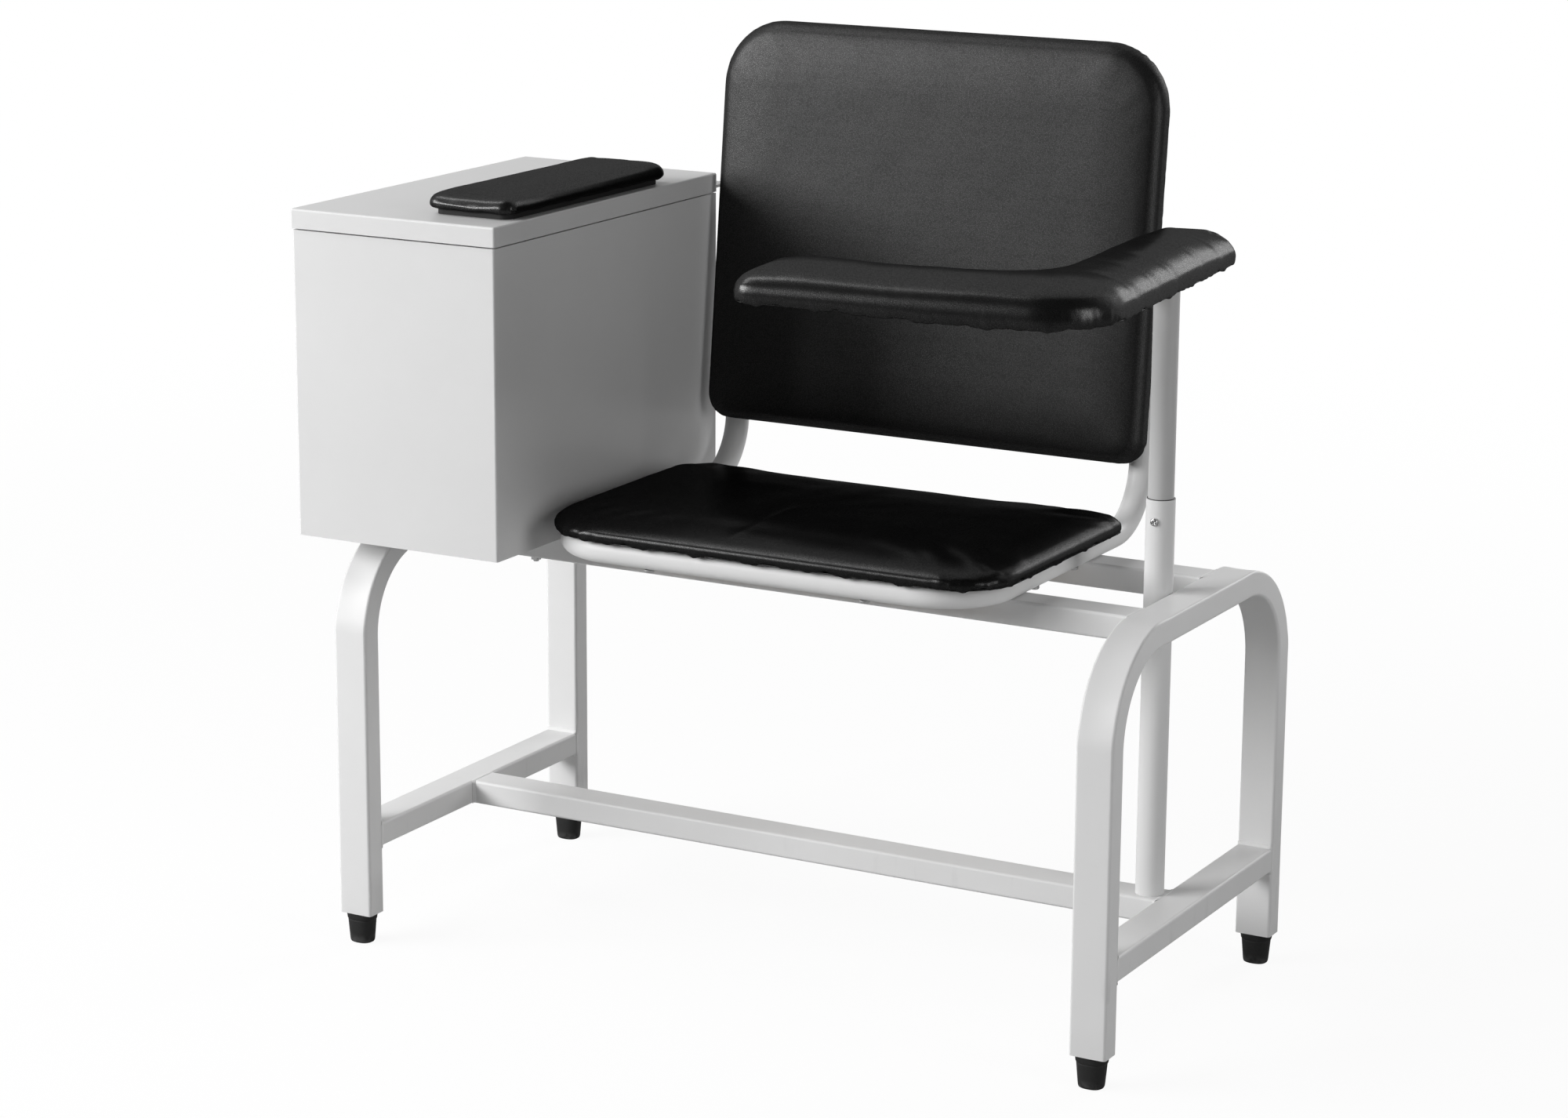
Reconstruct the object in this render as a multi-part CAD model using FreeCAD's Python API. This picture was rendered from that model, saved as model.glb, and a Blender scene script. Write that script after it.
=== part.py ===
import FreeCAD, Part
import math
import os
from FreeCAD import Placement, Rotation, Vector

# Blood-draw chair with a storage cabinet on the sitter's right and a padded arm on a post on the left.
# X runs to the sitter's left, Y to the back and Z up, in millimetres, with the feet on Z = 0.
# The model is laid out about the middle of the four legs and is moved at the end, so that the origin
# is the middle of the footprint that the whole chair covers.

# Rectangular frame tube and the two end hoops
rail_width = 38.1
rail_depth = 25.4
rail_wall = 1.5
rail_corner = 3.0
frame_width = 875.0
frame_depth = 432.0
frame_height = 436.2
hoop_bend = 105.0
lower_rail_height = 103.0
beam_spacing = 175.0
cut_overrun = 5.0

# Rubber feet, oval cups with a stem pushed into the leg
foot_height = 32.0
foot_top_length = 33.0
foot_top_width = 24.6
foot_step_length = 30.0
foot_step_width = 23.0
foot_base_length = 25.0
foot_base_width = 21.0
foot_lip = 7.0
foot_step = 0.8
foot_stem_height = 28.0
foot_stem_clearance = 0.1
foot_sole_round = 2.0

# Bent round tube under the seat and up behind the back
tube_diameter = 25.4
tube_wall = 1.5
weld_gap = 0.1
tube_span = 475.0
right_margin_share = 0.41
tube_front_reach = 176.0
tube_front_bend = 65.0
tube_bend_start = 140.0
tube_rear_bend = 66.0
back_lean = 6.0
upright_length = 232.0
cap_lip = 2.5
cap_stem = 14.0
cap_clearance = 0.1

# Seat board and cushion
seat_left_overhang = 17.5
seat_right_overhang = 27.0
seat_front_reach = 197.0
seat_rear_reach = 118.0
seat_front_left_corner = 80.0
seat_front_right_corner = 60.0
seat_rear_right_corner = 18.0
seat_rear_left_corner = 36.0
seat_board_thickness = 10.0
seat_board_inset = 6.0
seat_board_gap = 0.2
seat_cushion_height = 28.0
seat_crown_reach = 80.0
soft_gap = 0.3

# Back board, lining and cushion
back_left_overhang = 20.0
back_right_overhang = 13.5
back_height = 426.0
back_low_edge = 2.0
back_top_corner = 68.0
back_low_corner = 25.0
back_board_thickness = 12.0
back_board_inset = 6.0
back_lining_thickness = 1.2
back_cushion_height = 32.5
back_crown_reach = 70.0
back_seat_gap = 0.2

# Wood screws with pan heads
screw_shank_radius = 2.4
screw_head_radius = 5.0
screw_head_height = 3.0
screw_hole_clearance = 0.1
seat_screw_bite = 7.0
seat_screw_side_spacing = 90.0
seat_screw_front_spacing = 240.0
back_screw_low = 55.0
back_screw_high = 190.0

# Arm post, two telescoping tubes held by a clamp screw
post_diameter = 28.6
post_wall = 1.5
post_top = 528.0
post_slide_clearance = 0.1
post_weld_gap = 0.2
inner_wall = 1.5
inner_tube_foot = 330.0
clamp_drop = 21.0
clamp_shank_radius = 2.5
clamp_head_radius = 4.2
clamp_head_height = 3.0
clamp_socket_radius = 1.5
clamp_socket_depth = 1.6
clamp_hole_clearance = 0.05
clamp_tip_gap = 0.05

# Padded arm, an L on a flat steel strap
arm_board_height = 742.0
arm_rest_turn = 5.5
arm_reach_left = 330.0
arm_reach_right = 34.0
arm_reach_front = 292.0
arm_reach_rear = 130.0
arm_limb_width = 88.0
arm_outer_corner = 70.0
arm_inner_corner = 60.0
arm_end_corner = 22.0
arm_board_thickness = 12.0
arm_board_inset = 6.0
arm_cushion_height = 38.0
arm_crown_reach = 18.0
strap_width = 40.0
strap_thickness = 4.0
strap_end_inset = 40.0
strap_corner = 6.0
spigot_radius = 8.0
spigot_length = 46.0
bush_length = 40.0
bush_flange = 2.0
bush_fit = 0.05
spigot_fit = 0.05
arm_screw_bite = 9.0
arm_screw_end_margin = 14.0

# Sheet-steel cabinet on the two seat beams
cabinet_seat_gap = 9.0
cabinet_depth = 434.0
cabinet_height = 314.2
cabinet_overhang = 30.5
cabinet_front_overhang = 13.5
sheet = 1.2
sheet_bend = 2.2
cabinet_flange = 14.0
floor_sheet = 1.5
cabinet_bolt_radius = 3.0
cabinet_bolt_head_radius = 6.5
cabinet_bolt_head_height = 3.2
cabinet_bolt_share = 0.1875
cabinet_bolt_clearance = 0.2
cabinet_nut_width = 10.0
cabinet_nut_height = 5.0
cabinet_bolt_end = 2.0
cabinet_washer_radius = 8.0
cabinet_washer_height = 1.2

# Hinged lid
lid_gap = 1.6
lid_height = 20.0
lid_overhang = 1.4
lid_hem = 12.0
bumper_radius = 5.0
bumper_inset = 7.0
bumper_setback = 60.0

# Piano hinge across the back of the lid
hinge_end_margin = 24.0
hinge_barrel_radius = 3.0
hinge_pin_radius = 1.5
hinge_pin_fit = 0.05
hinge_knuckles = 11
hinge_knuckle_gap = 0.3
hinge_leaf = 1.2
hinge_fixed_leaf_height = 20.0
hinge_moving_leaf_height = 16.0
hinge_seat_gap = 0.3
lug_width = 16.0
lug_thickness = 3.0
lug_lift = 4.0
lug_reach = 27.0
lug_margin = 3.0

# Arm-rest pad on the lid
lid_pad_width = 103.0
lid_pad_length = 308.0
lid_pad_edge_margin = 4.0
lid_pad_rear_setback = 89.5
lid_pad_corner = 14.0
lid_pad_base_height = 6.0
lid_pad_base_inset = 8.0
lid_pad_height = 20.0
lid_pad_crown_reach = 26.0
lid_screw_bite = 4.0
lid_screw_end_inset = 60.0

parts = {}


# Shared shape makers
def box(low, high):
    """Block between two opposite corners."""
    size = high - low
    return Part.makeBox(size.x, size.y, size.z, low)


def rod(foot, radius, length, axis=Vector(0, 0, 1)):
    """Solid cylinder from the foot point along the axis."""
    return Part.makeCylinder(radius, length, foot, axis)


def ring(foot, outer, inner, length, axis=Vector(0, 0, 1)):
    """Straight round tube from the foot point along the axis."""
    return rod(foot, outer, length, axis).cut(rod(foot, inner, length, axis))


def rounded_outline(points, radii, height):
    """Closed wire through the points in a level plane, each corner drawn with its own arc."""
    count = len(points)
    entries = []
    exits = []
    middles = []
    for index in range(count):
        here = Vector(points[index][0], points[index][1], height)
        before = Vector(points[index - 1][0], points[index - 1][1], height)
        after = Vector(points[(index + 1) % count][0], points[(index + 1) % count][1], height)
        back = (before - here).normalize()
        ahead = (after - here).normalize()
        half = back.getAngle(ahead) / 2
        reach = radii[index] / math.tan(half)
        entries.append(here + back * reach)
        exits.append(here + ahead * reach)
        middle = (back + ahead).normalize()
        middles.append(here + middle * (radii[index] / math.sin(half) - radii[index]))
    edges = []
    for index in range(count):
        edges.append(Part.Arc(entries[index], middles[index], exits[index]).toShape())
        follow = entries[(index + 1) % count]
        edges.append(Part.LineSegment(exits[index], follow).toShape())
    return Part.Wire(edges)


def plate(points, radii, low, thickness):
    """Flat plate with rounded corners."""
    face = Part.Face(rounded_outline(points, radii, low))
    return face.extrude(Vector(0, 0, thickness))


def rectangle(low_x, high_x, low_y, high_y, inset):
    """Corner points of a rectangle drawn in by the inset, anticlockwise from the front left."""
    return [
        (low_x + inset, low_y + inset),
        (high_x - inset, low_y + inset),
        (high_x - inset, high_y - inset),
        (low_x + inset, high_y - inset),
    ]


def cushion(outline, low, height, crown_reach):
    """Upholstered pad: sides drawn in at the seam, a full rounded edge and a gentle crown."""
    sections = []
    for lift_share, height_share, reach_share in cushion_shares:
        points, radii = outline(height * height_share + crown_reach * reach_share)
        sections.append(rounded_outline(points, radii, low + height * lift_share))
    return Part.makeLoft(sections, True, True)


def eased(radius, inset):
    """Radius of an outer corner once the outline has been drawn in by the inset."""
    return radius * radius / (radius + inset * corner_follow_share)


corner_follow_share = 0.6
# Levels of a pad from the seam up: share of its height, then the draw-in as a share of the height
# and as a share of the crown's reach
cushion_shares = [
    (0.0, 0.10, 0.0),
    (0.24, 0.0, 0.0),
    (0.58, 0.02, 0.0),
    (0.78, 0.13, 0.0),
    (0.90, 0.18, 0.25),
    (1.0, 0.20, 1.0),
]


def rail(length, along):
    """Straight piece of the frame tube, wide face up, starting at the origin along X or Y."""
    half = rail_width / 2
    outer = box(Vector(0, -half, 0), Vector(length, half, rail_depth))
    inner = box(
        Vector(-cut_overrun, -half + rail_wall, rail_wall),
        Vector(length + cut_overrun, half - rail_wall, rail_depth - rail_wall),
    )
    long_outer = [edge for edge in outer.Edges if abs(edge.tangentAt(edge.FirstParameter).x) > 0.9]
    long_inner = [edge for edge in inner.Edges if abs(edge.tangentAt(edge.FirstParameter).x) > 0.9]
    outer = outer.makeFillet(rail_corner, long_outer)
    inner = inner.makeFillet(rail_corner - rail_wall, long_inner)
    shape = outer.cut(inner)
    if along == "Y":
        shape.rotate(Vector(0, 0, 0), Vector(0, 0, 1), 90)
    return shape


def hoop_solid(inset, foot):
    """Inverted U in the YZ plane, drawn in all round by the inset and reaching down to the foot."""
    half = frame_depth / 2 - inset
    top = frame_height - inset
    bend = hoop_bend - inset
    thick = rail_depth - 2 * inset
    inner_half = half - thick
    inner_bend = bend - thick
    slant = math.sqrt(0.5)
    centre = top - bend
    outer_mid = half - bend + bend * slant
    inner_mid = half - bend + inner_bend * slant
    edges = [
        Part.LineSegment(Vector(0, -half, foot), Vector(0, -half, centre)),
        Part.Arc(
            Vector(0, -half, centre),
            Vector(0, -outer_mid, centre + bend * slant),
            Vector(0, -half + bend, top),
        ),
        Part.LineSegment(Vector(0, -half + bend, top), Vector(0, half - bend, top)),
        Part.Arc(
            Vector(0, half - bend, top),
            Vector(0, outer_mid, centre + bend * slant),
            Vector(0, half, centre),
        ),
        Part.LineSegment(Vector(0, half, centre), Vector(0, half, foot)),
        Part.LineSegment(Vector(0, half, foot), Vector(0, inner_half, foot)),
        Part.LineSegment(Vector(0, inner_half, foot), Vector(0, inner_half, centre)),
        Part.Arc(
            Vector(0, inner_half, centre),
            Vector(0, inner_mid, centre + inner_bend * slant),
            Vector(0, half - bend, top - thick),
        ),
        Part.LineSegment(Vector(0, half - bend, top - thick), Vector(0, -half + bend, top - thick)),
        Part.Arc(
            Vector(0, -half + bend, top - thick),
            Vector(0, -inner_mid, centre + inner_bend * slant),
            Vector(0, -inner_half, centre),
        ),
        Part.LineSegment(Vector(0, -inner_half, centre), Vector(0, -inner_half, foot)),
        Part.LineSegment(Vector(0, -inner_half, foot), Vector(0, -half, foot)),
    ]
    face = Part.Face(Part.Wire([edge.toShape() for edge in edges]))
    width = rail_width - 2 * inset
    solid = face.extrude(Vector(width, 0, 0))
    solid.translate(Vector(inset, 0, 0))
    sides = (inset, inset + width)
    edges = []
    for edge in solid.Edges:
        box_of = edge.BoundBox
        on_side = any(abs(box_of.XMin - x) < soft_gap and abs(box_of.XMax - x) < soft_gap for x in sides)
        if on_side and box_of.ZMax > foot + soft_gap:
            edges.append(edge)
    return solid.makeFillet(rail_corner - inset, edges)


# End hoops, one bent tube each, with the lower ends open for the feet
def hoop(low_x):
    shape = hoop_solid(0, foot_height).cut(hoop_solid(rail_wall, foot_height - cut_overrun))
    shape.translate(Vector(low_x, 0, 0))
    return shape


left_side = -frame_width / 2
right_side = frame_width / 2
parts["left_end_hoop"] = hoop(left_side)
parts["right_end_hoop"] = hoop(right_side - rail_width)

# Lower cross bars between the legs of each hoop, and the long stretcher between them
left_rail_middle = left_side + rail_width / 2
right_rail_middle = right_side - rail_width / 2
cross_length = frame_depth - 2 * rail_depth
for side, middle in (("left", left_rail_middle), ("right", right_rail_middle)):
    bar = rail(cross_length, "Y")
    bar.translate(Vector(middle, -cross_length / 2, lower_rail_height))
    parts[side + "_cross_bar"] = bar

inner_left = left_side + rail_width
inner_right = right_side - rail_width
beam_length = inner_right - inner_left
stretcher = rail(beam_length, "X")
stretcher.translate(Vector(inner_left, 0, lower_rail_height))
parts["long_stretcher"] = stretcher

# Across the chair: the seat tube takes its span, and the margins beside it share what is left
tube_right = right_side - right_margin_share * (frame_width - tube_span)
tube_left = tube_right - tube_span
seat_centre = (tube_left + tube_right) / 2
seat_left = tube_left - seat_left_overhang
seat_right = tube_right + seat_right_overhang
back_left = tube_left - back_left_overhang
back_right = tube_right + back_right_overhang
cabinet_left = left_side - cabinet_overhang
cabinet_right = seat_left - cabinet_seat_gap
cabinet_width = cabinet_right - cabinet_left

# Upper beams between the hoops' top rails, drilled for the cabinet's bolts
cabinet_front = -frame_depth / 2 - cabinet_front_overhang
cabinet_rear = cabinet_front + cabinet_depth
cabinet_top = frame_height + cabinet_height
cabinet_bolt_inset = cabinet_width * cabinet_bolt_share
bolt_places = []
for beam_y in (-beam_spacing / 2, beam_spacing / 2):
    for bolt_x in (inner_left + cabinet_bolt_inset, cabinet_right - cabinet_bolt_inset):
        bolt_places.append(Vector(bolt_x, beam_y, frame_height))


def bolt_cutter(place, radius):
    """Cylinder that drills through a beam and the cabinet's floor."""
    reach = rail_depth + floor_sheet + 2 * cut_overrun
    return rod(place - Vector(0, 0, rail_depth + cut_overrun), radius, reach)


bolt_hole_radius = cabinet_bolt_radius + cabinet_bolt_clearance
for name, beam_y in (("front_seat_beam", -beam_spacing / 2), ("rear_seat_beam", beam_spacing / 2)):
    beam = rail(beam_length, "X")
    beam.translate(Vector(inner_left, beam_y, frame_height - rail_depth))
    for place in bolt_places:
        if abs(place.y - beam_y) < rail_width / 2:
            beam = beam.cut(bolt_cutter(place, bolt_hole_radius))
    parts[name] = beam


# Rubber feet: a stem fills the leg's mouth, and an oval cup with a lip tapers to the floor
def oval(length, width, height):
    curve = Part.Ellipse(Vector(0, 0, height), length / 2, width / 2)
    return Part.Wire(curve.toShape())


def foot(place):
    lip_low = foot_height - foot_lip
    cup = Part.makeLoft(
        [
            oval(foot_base_length - foot_sole_round, foot_base_width - foot_sole_round, 0),
            oval(foot_base_length, foot_base_width, foot_sole_round),
            oval(foot_step_length, foot_step_width, lip_low),
        ],
        True,
        True,
    )
    lip = Part.makeLoft(
        [
            oval(foot_step_length + 2 * foot_step, foot_step_width + foot_step, lip_low),
            oval(foot_top_length, foot_top_width, foot_height),
        ],
        True,
        True,
    )
    inset = rail_wall + foot_stem_clearance
    stem = plate(
        rectangle(-rail_width / 2, rail_width / 2, -rail_depth / 2, rail_depth / 2, inset),
        [rail_corner - rail_wall] * 4,
        foot_height,
        foot_stem_height,
    )
    shape = cup.fuse([lip, stem]).removeSplitter()
    shape.translate(place)
    return shape


leg_y = frame_depth / 2 - rail_depth / 2
for end, y in (("front", -leg_y), ("rear", leg_y)):
    for side, x in (("left", left_rail_middle), ("right", right_rail_middle)):
        parts[end + "_" + side + "_foot"] = foot(Vector(x, y, 0))

# Bent seat tube: across the front, back along both sides, then up behind the back pad
tube_radius = tube_diameter / 2
tube_bore = tube_radius - tube_wall
tube_height = frame_height + tube_radius + weld_gap
lean = math.radians(back_lean)
sweep = 90 - back_lean
bend_end_y = tube_bend_start + tube_rear_bend * math.sin(math.radians(sweep))
bend_end_z = tube_height + tube_rear_bend * (1 - math.cos(math.radians(sweep)))
upright_way = Vector(0, math.sin(lean), math.cos(lean))


def tube_arc(start, way, centre, axis, angle, outer, inner):
    """Quarter-like bend: the ring face at the start is turned about the bend's own centre."""
    face = Part.Face(Part.Wire(Part.Circle(start, way, outer).toShape()))
    hole = Part.Face(Part.Wire(Part.Circle(start, way, inner).toShape()))
    return face.cut(hole).revolve(centre, axis, angle)


front_y = -tube_front_reach
pieces = [
    ring(
        Vector(tube_left + tube_front_bend, front_y, tube_height),
        tube_radius,
        tube_bore,
        tube_span - 2 * tube_front_bend,
        Vector(1, 0, 0),
    )
]
for x, side in ((tube_left, -1), (tube_right, 1)):
    corner = Vector(x - side * tube_front_bend, front_y + tube_front_bend, tube_height)
    pieces.append(
        tube_arc(
            Vector(corner.x, front_y, tube_height),
            Vector(side, 0, 0),
            corner,
            Vector(0, 0, side),
            90,
            tube_radius,
            tube_bore,
        )
    )
    side_length = tube_bend_start - corner.y
    side_start = Vector(x, corner.y, tube_height)
    pieces.append(ring(side_start, tube_radius, tube_bore, side_length, Vector(0, 1, 0)))
    pieces.append(
        tube_arc(
            Vector(x, tube_bend_start, tube_height),
            Vector(0, 1, 0),
            Vector(x, tube_bend_start, tube_height + tube_rear_bend),
            Vector(1, 0, 0),
            sweep,
            tube_radius,
            tube_bore,
        )
    )
    pieces.append(
        ring(Vector(x, bend_end_y, bend_end_z), tube_radius, tube_bore, upright_length, upright_way)
    )
seat_tube = pieces[0].fuse(pieces[1:]).removeSplitter()

# Seat board on top of the tube, with its cushion round it
seat_low = tube_height + tube_radius + seat_board_gap


def seat_outline(inset):
    """Seat outline drawn in by the inset, with its corner radii."""
    points = rectangle(seat_left, seat_right, -seat_front_reach, seat_rear_reach, inset)
    corners = (
        seat_front_left_corner,
        seat_front_right_corner,
        seat_rear_right_corner,
        seat_rear_left_corner,
    )
    return points, [eased(corner, inset) for corner in corners]


board_points, board_radii = seat_outline(seat_board_inset)
seat_board = plate(board_points, board_radii, seat_low, seat_board_thickness)
pocket_points, pocket_radii = seat_outline(seat_board_inset - soft_gap)
pocket = plate(
    pocket_points,
    pocket_radii,
    seat_low - cut_overrun,
    cut_overrun + seat_board_thickness + soft_gap,
)
seat_soft = cushion(seat_outline, seat_low + soft_gap, seat_cushion_height, seat_crown_reach)
parts["seat_cushion"] = seat_soft.cut(pocket)

# Seat screws from below, through the tube into the board
screw_hole_radius = screw_shank_radius + screw_hole_clearance
seat_screw_places = []
for x in (tube_left, tube_right):
    for y in (-seat_screw_side_spacing / 2, seat_screw_side_spacing / 2):
        seat_screw_places.append(Vector(x, y, frame_height))
for x in (-seat_screw_front_spacing / 2, seat_screw_front_spacing / 2):
    seat_screw_places.append(Vector(seat_centre + x, front_y, frame_height))


def pan_screw(grip):
    """Pan-head screw pointing up, with the head's seat at the origin."""
    head = rod(Vector(0, 0, -screw_head_height), screw_head_radius, screw_head_height)
    low_rim = [edge for edge in head.Edges if edge.BoundBox.ZMax < -screw_head_height / 2]
    head = head.makeFillet(screw_head_height * head_round_share, low_rim)
    return head.fuse(rod(Vector(0, 0, 0), screw_shank_radius, grip)).removeSplitter()


head_round_share = 0.6
seat_screw_grip = weld_gap + tube_diameter + seat_board_gap + seat_screw_bite
seat_screws = []
for place in seat_screw_places:
    screw = pan_screw(seat_screw_grip)
    screw.translate(place)
    seat_screws.append(screw)
    drill = rod(place - Vector(0, 0, cut_overrun), screw_hole_radius, cut_overrun + seat_screw_grip)
    seat_tube = seat_tube.cut(drill)
    seat_board = seat_board.cut(drill)
parts["seat_board"] = seat_board
parts["seat_screws"] = Part.makeCompound(seat_screws)

# Back assembly, laid out upright about the uprights' lower ends and then leaned back as one
back_turn = Rotation(Vector(1, 0, 0), -back_lean)
back_place = Placement(Vector(0, bend_end_y, bend_end_z), back_turn)


def lean_back(shape):
    """Copy of an upright-built shape, leaned back to its place on the uprights."""
    moved = shape.copy()
    moved.Placement = back_place.multiply(moved.Placement)
    return moved


stand_up = Placement(Vector(0, 0, 0), Rotation(Vector(1, 0, 0), 90))


def upright(shape, rear_y):
    """Turns a plate drawn level so that it stands, growing forwards from the rear plane."""
    moved = shape.copy()
    moved.Placement = Placement(Vector(0, rear_y, 0), Rotation()).multiply(stand_up)
    return moved


def back_outline(inset):
    """Back outline drawn in by the inset, with large upper and small lower corners."""
    low = back_low_edge
    points = rectangle(back_left, back_right, low, low + back_height, inset)
    low_radius = eased(back_low_corner, inset)
    top_radius = eased(back_top_corner, inset)
    return points, [low_radius, low_radius, top_radius, top_radius]


back_lining_rear = -tube_radius - back_seat_gap
back_board_rear = back_lining_rear - back_lining_thickness
points, radii = back_outline(back_board_inset)
lining = upright(plate(points, radii, 0, back_lining_thickness), back_lining_rear)
back_board = upright(plate(points, radii, 0, back_board_thickness), back_board_rear)
points, radii = back_outline(back_board_inset - soft_gap)
back_pocket = plate(points, radii, -cut_overrun, cut_overrun + back_board_thickness + soft_gap)
back_soft = cushion(back_outline, soft_gap, back_cushion_height, back_crown_reach)
parts["back_cushion"] = lean_back(upright(back_soft.cut(back_pocket), back_board_rear))

# Back screws from behind, through each upright into the board
back_screw_grip = tube_diameter + back_seat_gap + back_lining_thickness + seat_screw_bite
back_screws = []
for x in (tube_left, tube_right):
    for z in (back_screw_low, back_screw_high):
        screw = pan_screw(back_screw_grip)
        screw.Placement = Placement(Vector(x, tube_radius, z), Rotation(Vector(1, 0, 0), 90))
        back_screws.append(lean_back(screw))
        drill = rod(
            Vector(x, tube_radius + cut_overrun, z),
            screw_hole_radius,
            cut_overrun + back_screw_grip,
            Vector(0, -1, 0),
        )
        seat_tube = seat_tube.cut(lean_back(drill))
        lining = lining.cut(drill)
        back_board = back_board.cut(drill)
parts["seat_back_tube"] = seat_tube
parts["back_lining"] = lean_back(lining)
parts["back_board"] = lean_back(back_board)
parts["back_screws"] = Part.makeCompound(back_screws)

# Plastic caps in the uprights' open ends
for side, x in (("left", tube_left), ("right", tube_right)):
    cap = rod(Vector(x, 0, upright_length), tube_radius, cap_lip)
    cap = cap.fuse(rod(Vector(x, 0, upright_length - cap_stem), tube_bore - cap_clearance, cap_stem))
    parts[side + "_upright_cap"] = lean_back(cap.removeSplitter())

# Arm post: the outer tube stands on the stretcher against the right hoop's top rail
post_radius = post_diameter / 2
post_bore = post_radius - post_wall
post_x = inner_right - post_radius - post_weld_gap
post_foot = lower_rail_height + rail_depth
post_axis = Vector(post_x, 0, 0)
outer_tube = ring(post_axis + Vector(0, 0, post_foot), post_radius, post_bore, post_top - post_foot)
clamp_height = post_top - clamp_drop
clamp_seat = Vector(post_x, -post_radius, clamp_height)
clamp_way = Vector(0, 1, 0)
outer_tube = outer_tube.cut(
    rod(
        clamp_seat - clamp_way * cut_overrun,
        clamp_shank_radius + clamp_hole_clearance,
        cut_overrun + post_radius,
        clamp_way,
    )
)
parts["arm_post_tube"] = outer_tube

# Clamp screw: a domed socket head outside, its tip against the inner tube
inner_radius = post_bore - post_slide_clearance
inner_bore = inner_radius - inner_wall
clamp_length = post_radius - inner_radius - clamp_tip_gap
head = rod(clamp_seat, clamp_head_radius, clamp_head_height, -clamp_way)
outer_rim = [edge for edge in head.Edges if edge.BoundBox.YMax < clamp_seat.y - clamp_head_height / 2]
head = head.makeFillet(clamp_head_height / 2, outer_rim)
socket = rod(
    clamp_seat - clamp_way * clamp_head_height,
    clamp_socket_radius,
    clamp_socket_depth,
    clamp_way,
)
clamp = head.cut(socket).fuse(rod(clamp_seat, clamp_shank_radius, clamp_length, clamp_way))
parts["arm_clamp_screw"] = clamp.removeSplitter()

# Inner tube that slides in the post, with a nylon bush in its mouth
strap_low = arm_board_height - strap_thickness
inner_top = strap_low - bush_flange
parts["arm_inner_tube"] = ring(
    post_axis + Vector(0, 0, inner_tube_foot),
    inner_radius,
    inner_bore,
    inner_top - inner_tube_foot,
)
bush = rod(post_axis + Vector(0, 0, inner_top), inner_radius, bush_flange)
bush = bush.fuse(rod(post_axis + Vector(0, 0, inner_top - bush_length), inner_bore - bush_fit, bush_length))
bush_reach = bush_length + bush_flange + 2 * cut_overrun
bush_foot = post_axis + Vector(0, 0, inner_top - bush_length - cut_overrun)
bush = bush.cut(rod(bush_foot, spigot_radius + spigot_fit, bush_reach))
parts["arm_bush"] = bush.removeSplitter()
parts["arm_spigot"] = rod(post_axis + Vector(0, 0, strap_low - spigot_length), spigot_radius, spigot_length)


# Padded arm, built square about the post and then turned to where it rests
def arm_points(inset, end_inset):
    """Corners of the L, anticlockwise from the tip's front corner."""
    left = -arm_reach_left + end_inset
    right = arm_reach_right - inset
    front = -arm_reach_front + inset
    rear = arm_reach_rear - end_inset
    return [
        (left, front),
        (right, front),
        (right, rear),
        (arm_reach_right - arm_limb_width + inset, rear),
        (arm_reach_right - arm_limb_width + inset, -arm_reach_front + arm_limb_width - inset),
        (left, -arm_reach_front + arm_limb_width - inset),
    ]


def arm_outline(inset):
    """Arm pad outline drawn in by the inset: one large outer corner, one hollow inner corner."""
    end = eased(arm_end_corner, inset)
    outer_corner = eased(arm_outer_corner, inset)
    radii = [end, outer_corner, end, end, arm_inner_corner + inset * corner_follow_share, end]
    return arm_points(inset, inset), radii


arm_turn = Placement(post_axis, Rotation(Vector(0, 0, 1), arm_rest_turn))


def place_arm(shape):
    """Copy of an arm shape, turned about the post to its rest."""
    moved = shape.copy()
    moved.Placement = arm_turn.multiply(moved.Placement)
    return moved


strap_inset = (arm_limb_width - strap_width) / 2
strap = plate(arm_points(strap_inset, strap_end_inset), [strap_corner] * 6, strap_low, strap_thickness)
points, radii = arm_outline(arm_board_inset)
arm_board = plate(points, radii, arm_board_height, arm_board_thickness)
points, radii = arm_outline(arm_board_inset - soft_gap)
arm_pocket = plate(
    points,
    radii,
    arm_board_height - cut_overrun,
    cut_overrun + arm_board_thickness + soft_gap,
)
arm_soft = cushion(arm_outline, arm_board_height, arm_cushion_height, arm_crown_reach)
parts["arm_cushion"] = place_arm(arm_soft.cut(arm_pocket))

# Arm screws through the strap into the board
limb_middle_x = arm_reach_right - arm_limb_width / 2
limb_middle_y = -arm_reach_front + arm_limb_width / 2
strap_left = -arm_reach_left + strap_end_inset + arm_screw_end_margin
strap_rear = arm_reach_rear - strap_end_inset - arm_screw_end_margin
arm_screw_places = [
    (strap_left, limb_middle_y),
    ((strap_left + limb_middle_x) / 2, limb_middle_y),
    (limb_middle_x, limb_middle_y),
    (limb_middle_x, (limb_middle_y + strap_rear) / 2),
    (limb_middle_x, strap_rear),
]
arm_screw_grip = strap_thickness + arm_screw_bite
arm_screws = []
for x, y in arm_screw_places:
    screw = pan_screw(arm_screw_grip)
    screw.translate(Vector(x, y, strap_low))
    arm_screws.append(place_arm(screw))
    drill = rod(Vector(x, y, strap_low - cut_overrun), screw_hole_radius, cut_overrun + arm_screw_grip)
    strap = strap.cut(drill)
    arm_board = arm_board.cut(drill)
parts["arm_strap"] = place_arm(strap)
parts["arm_board"] = place_arm(arm_board)
parts["arm_screws"] = Part.makeCompound(arm_screws)

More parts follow.
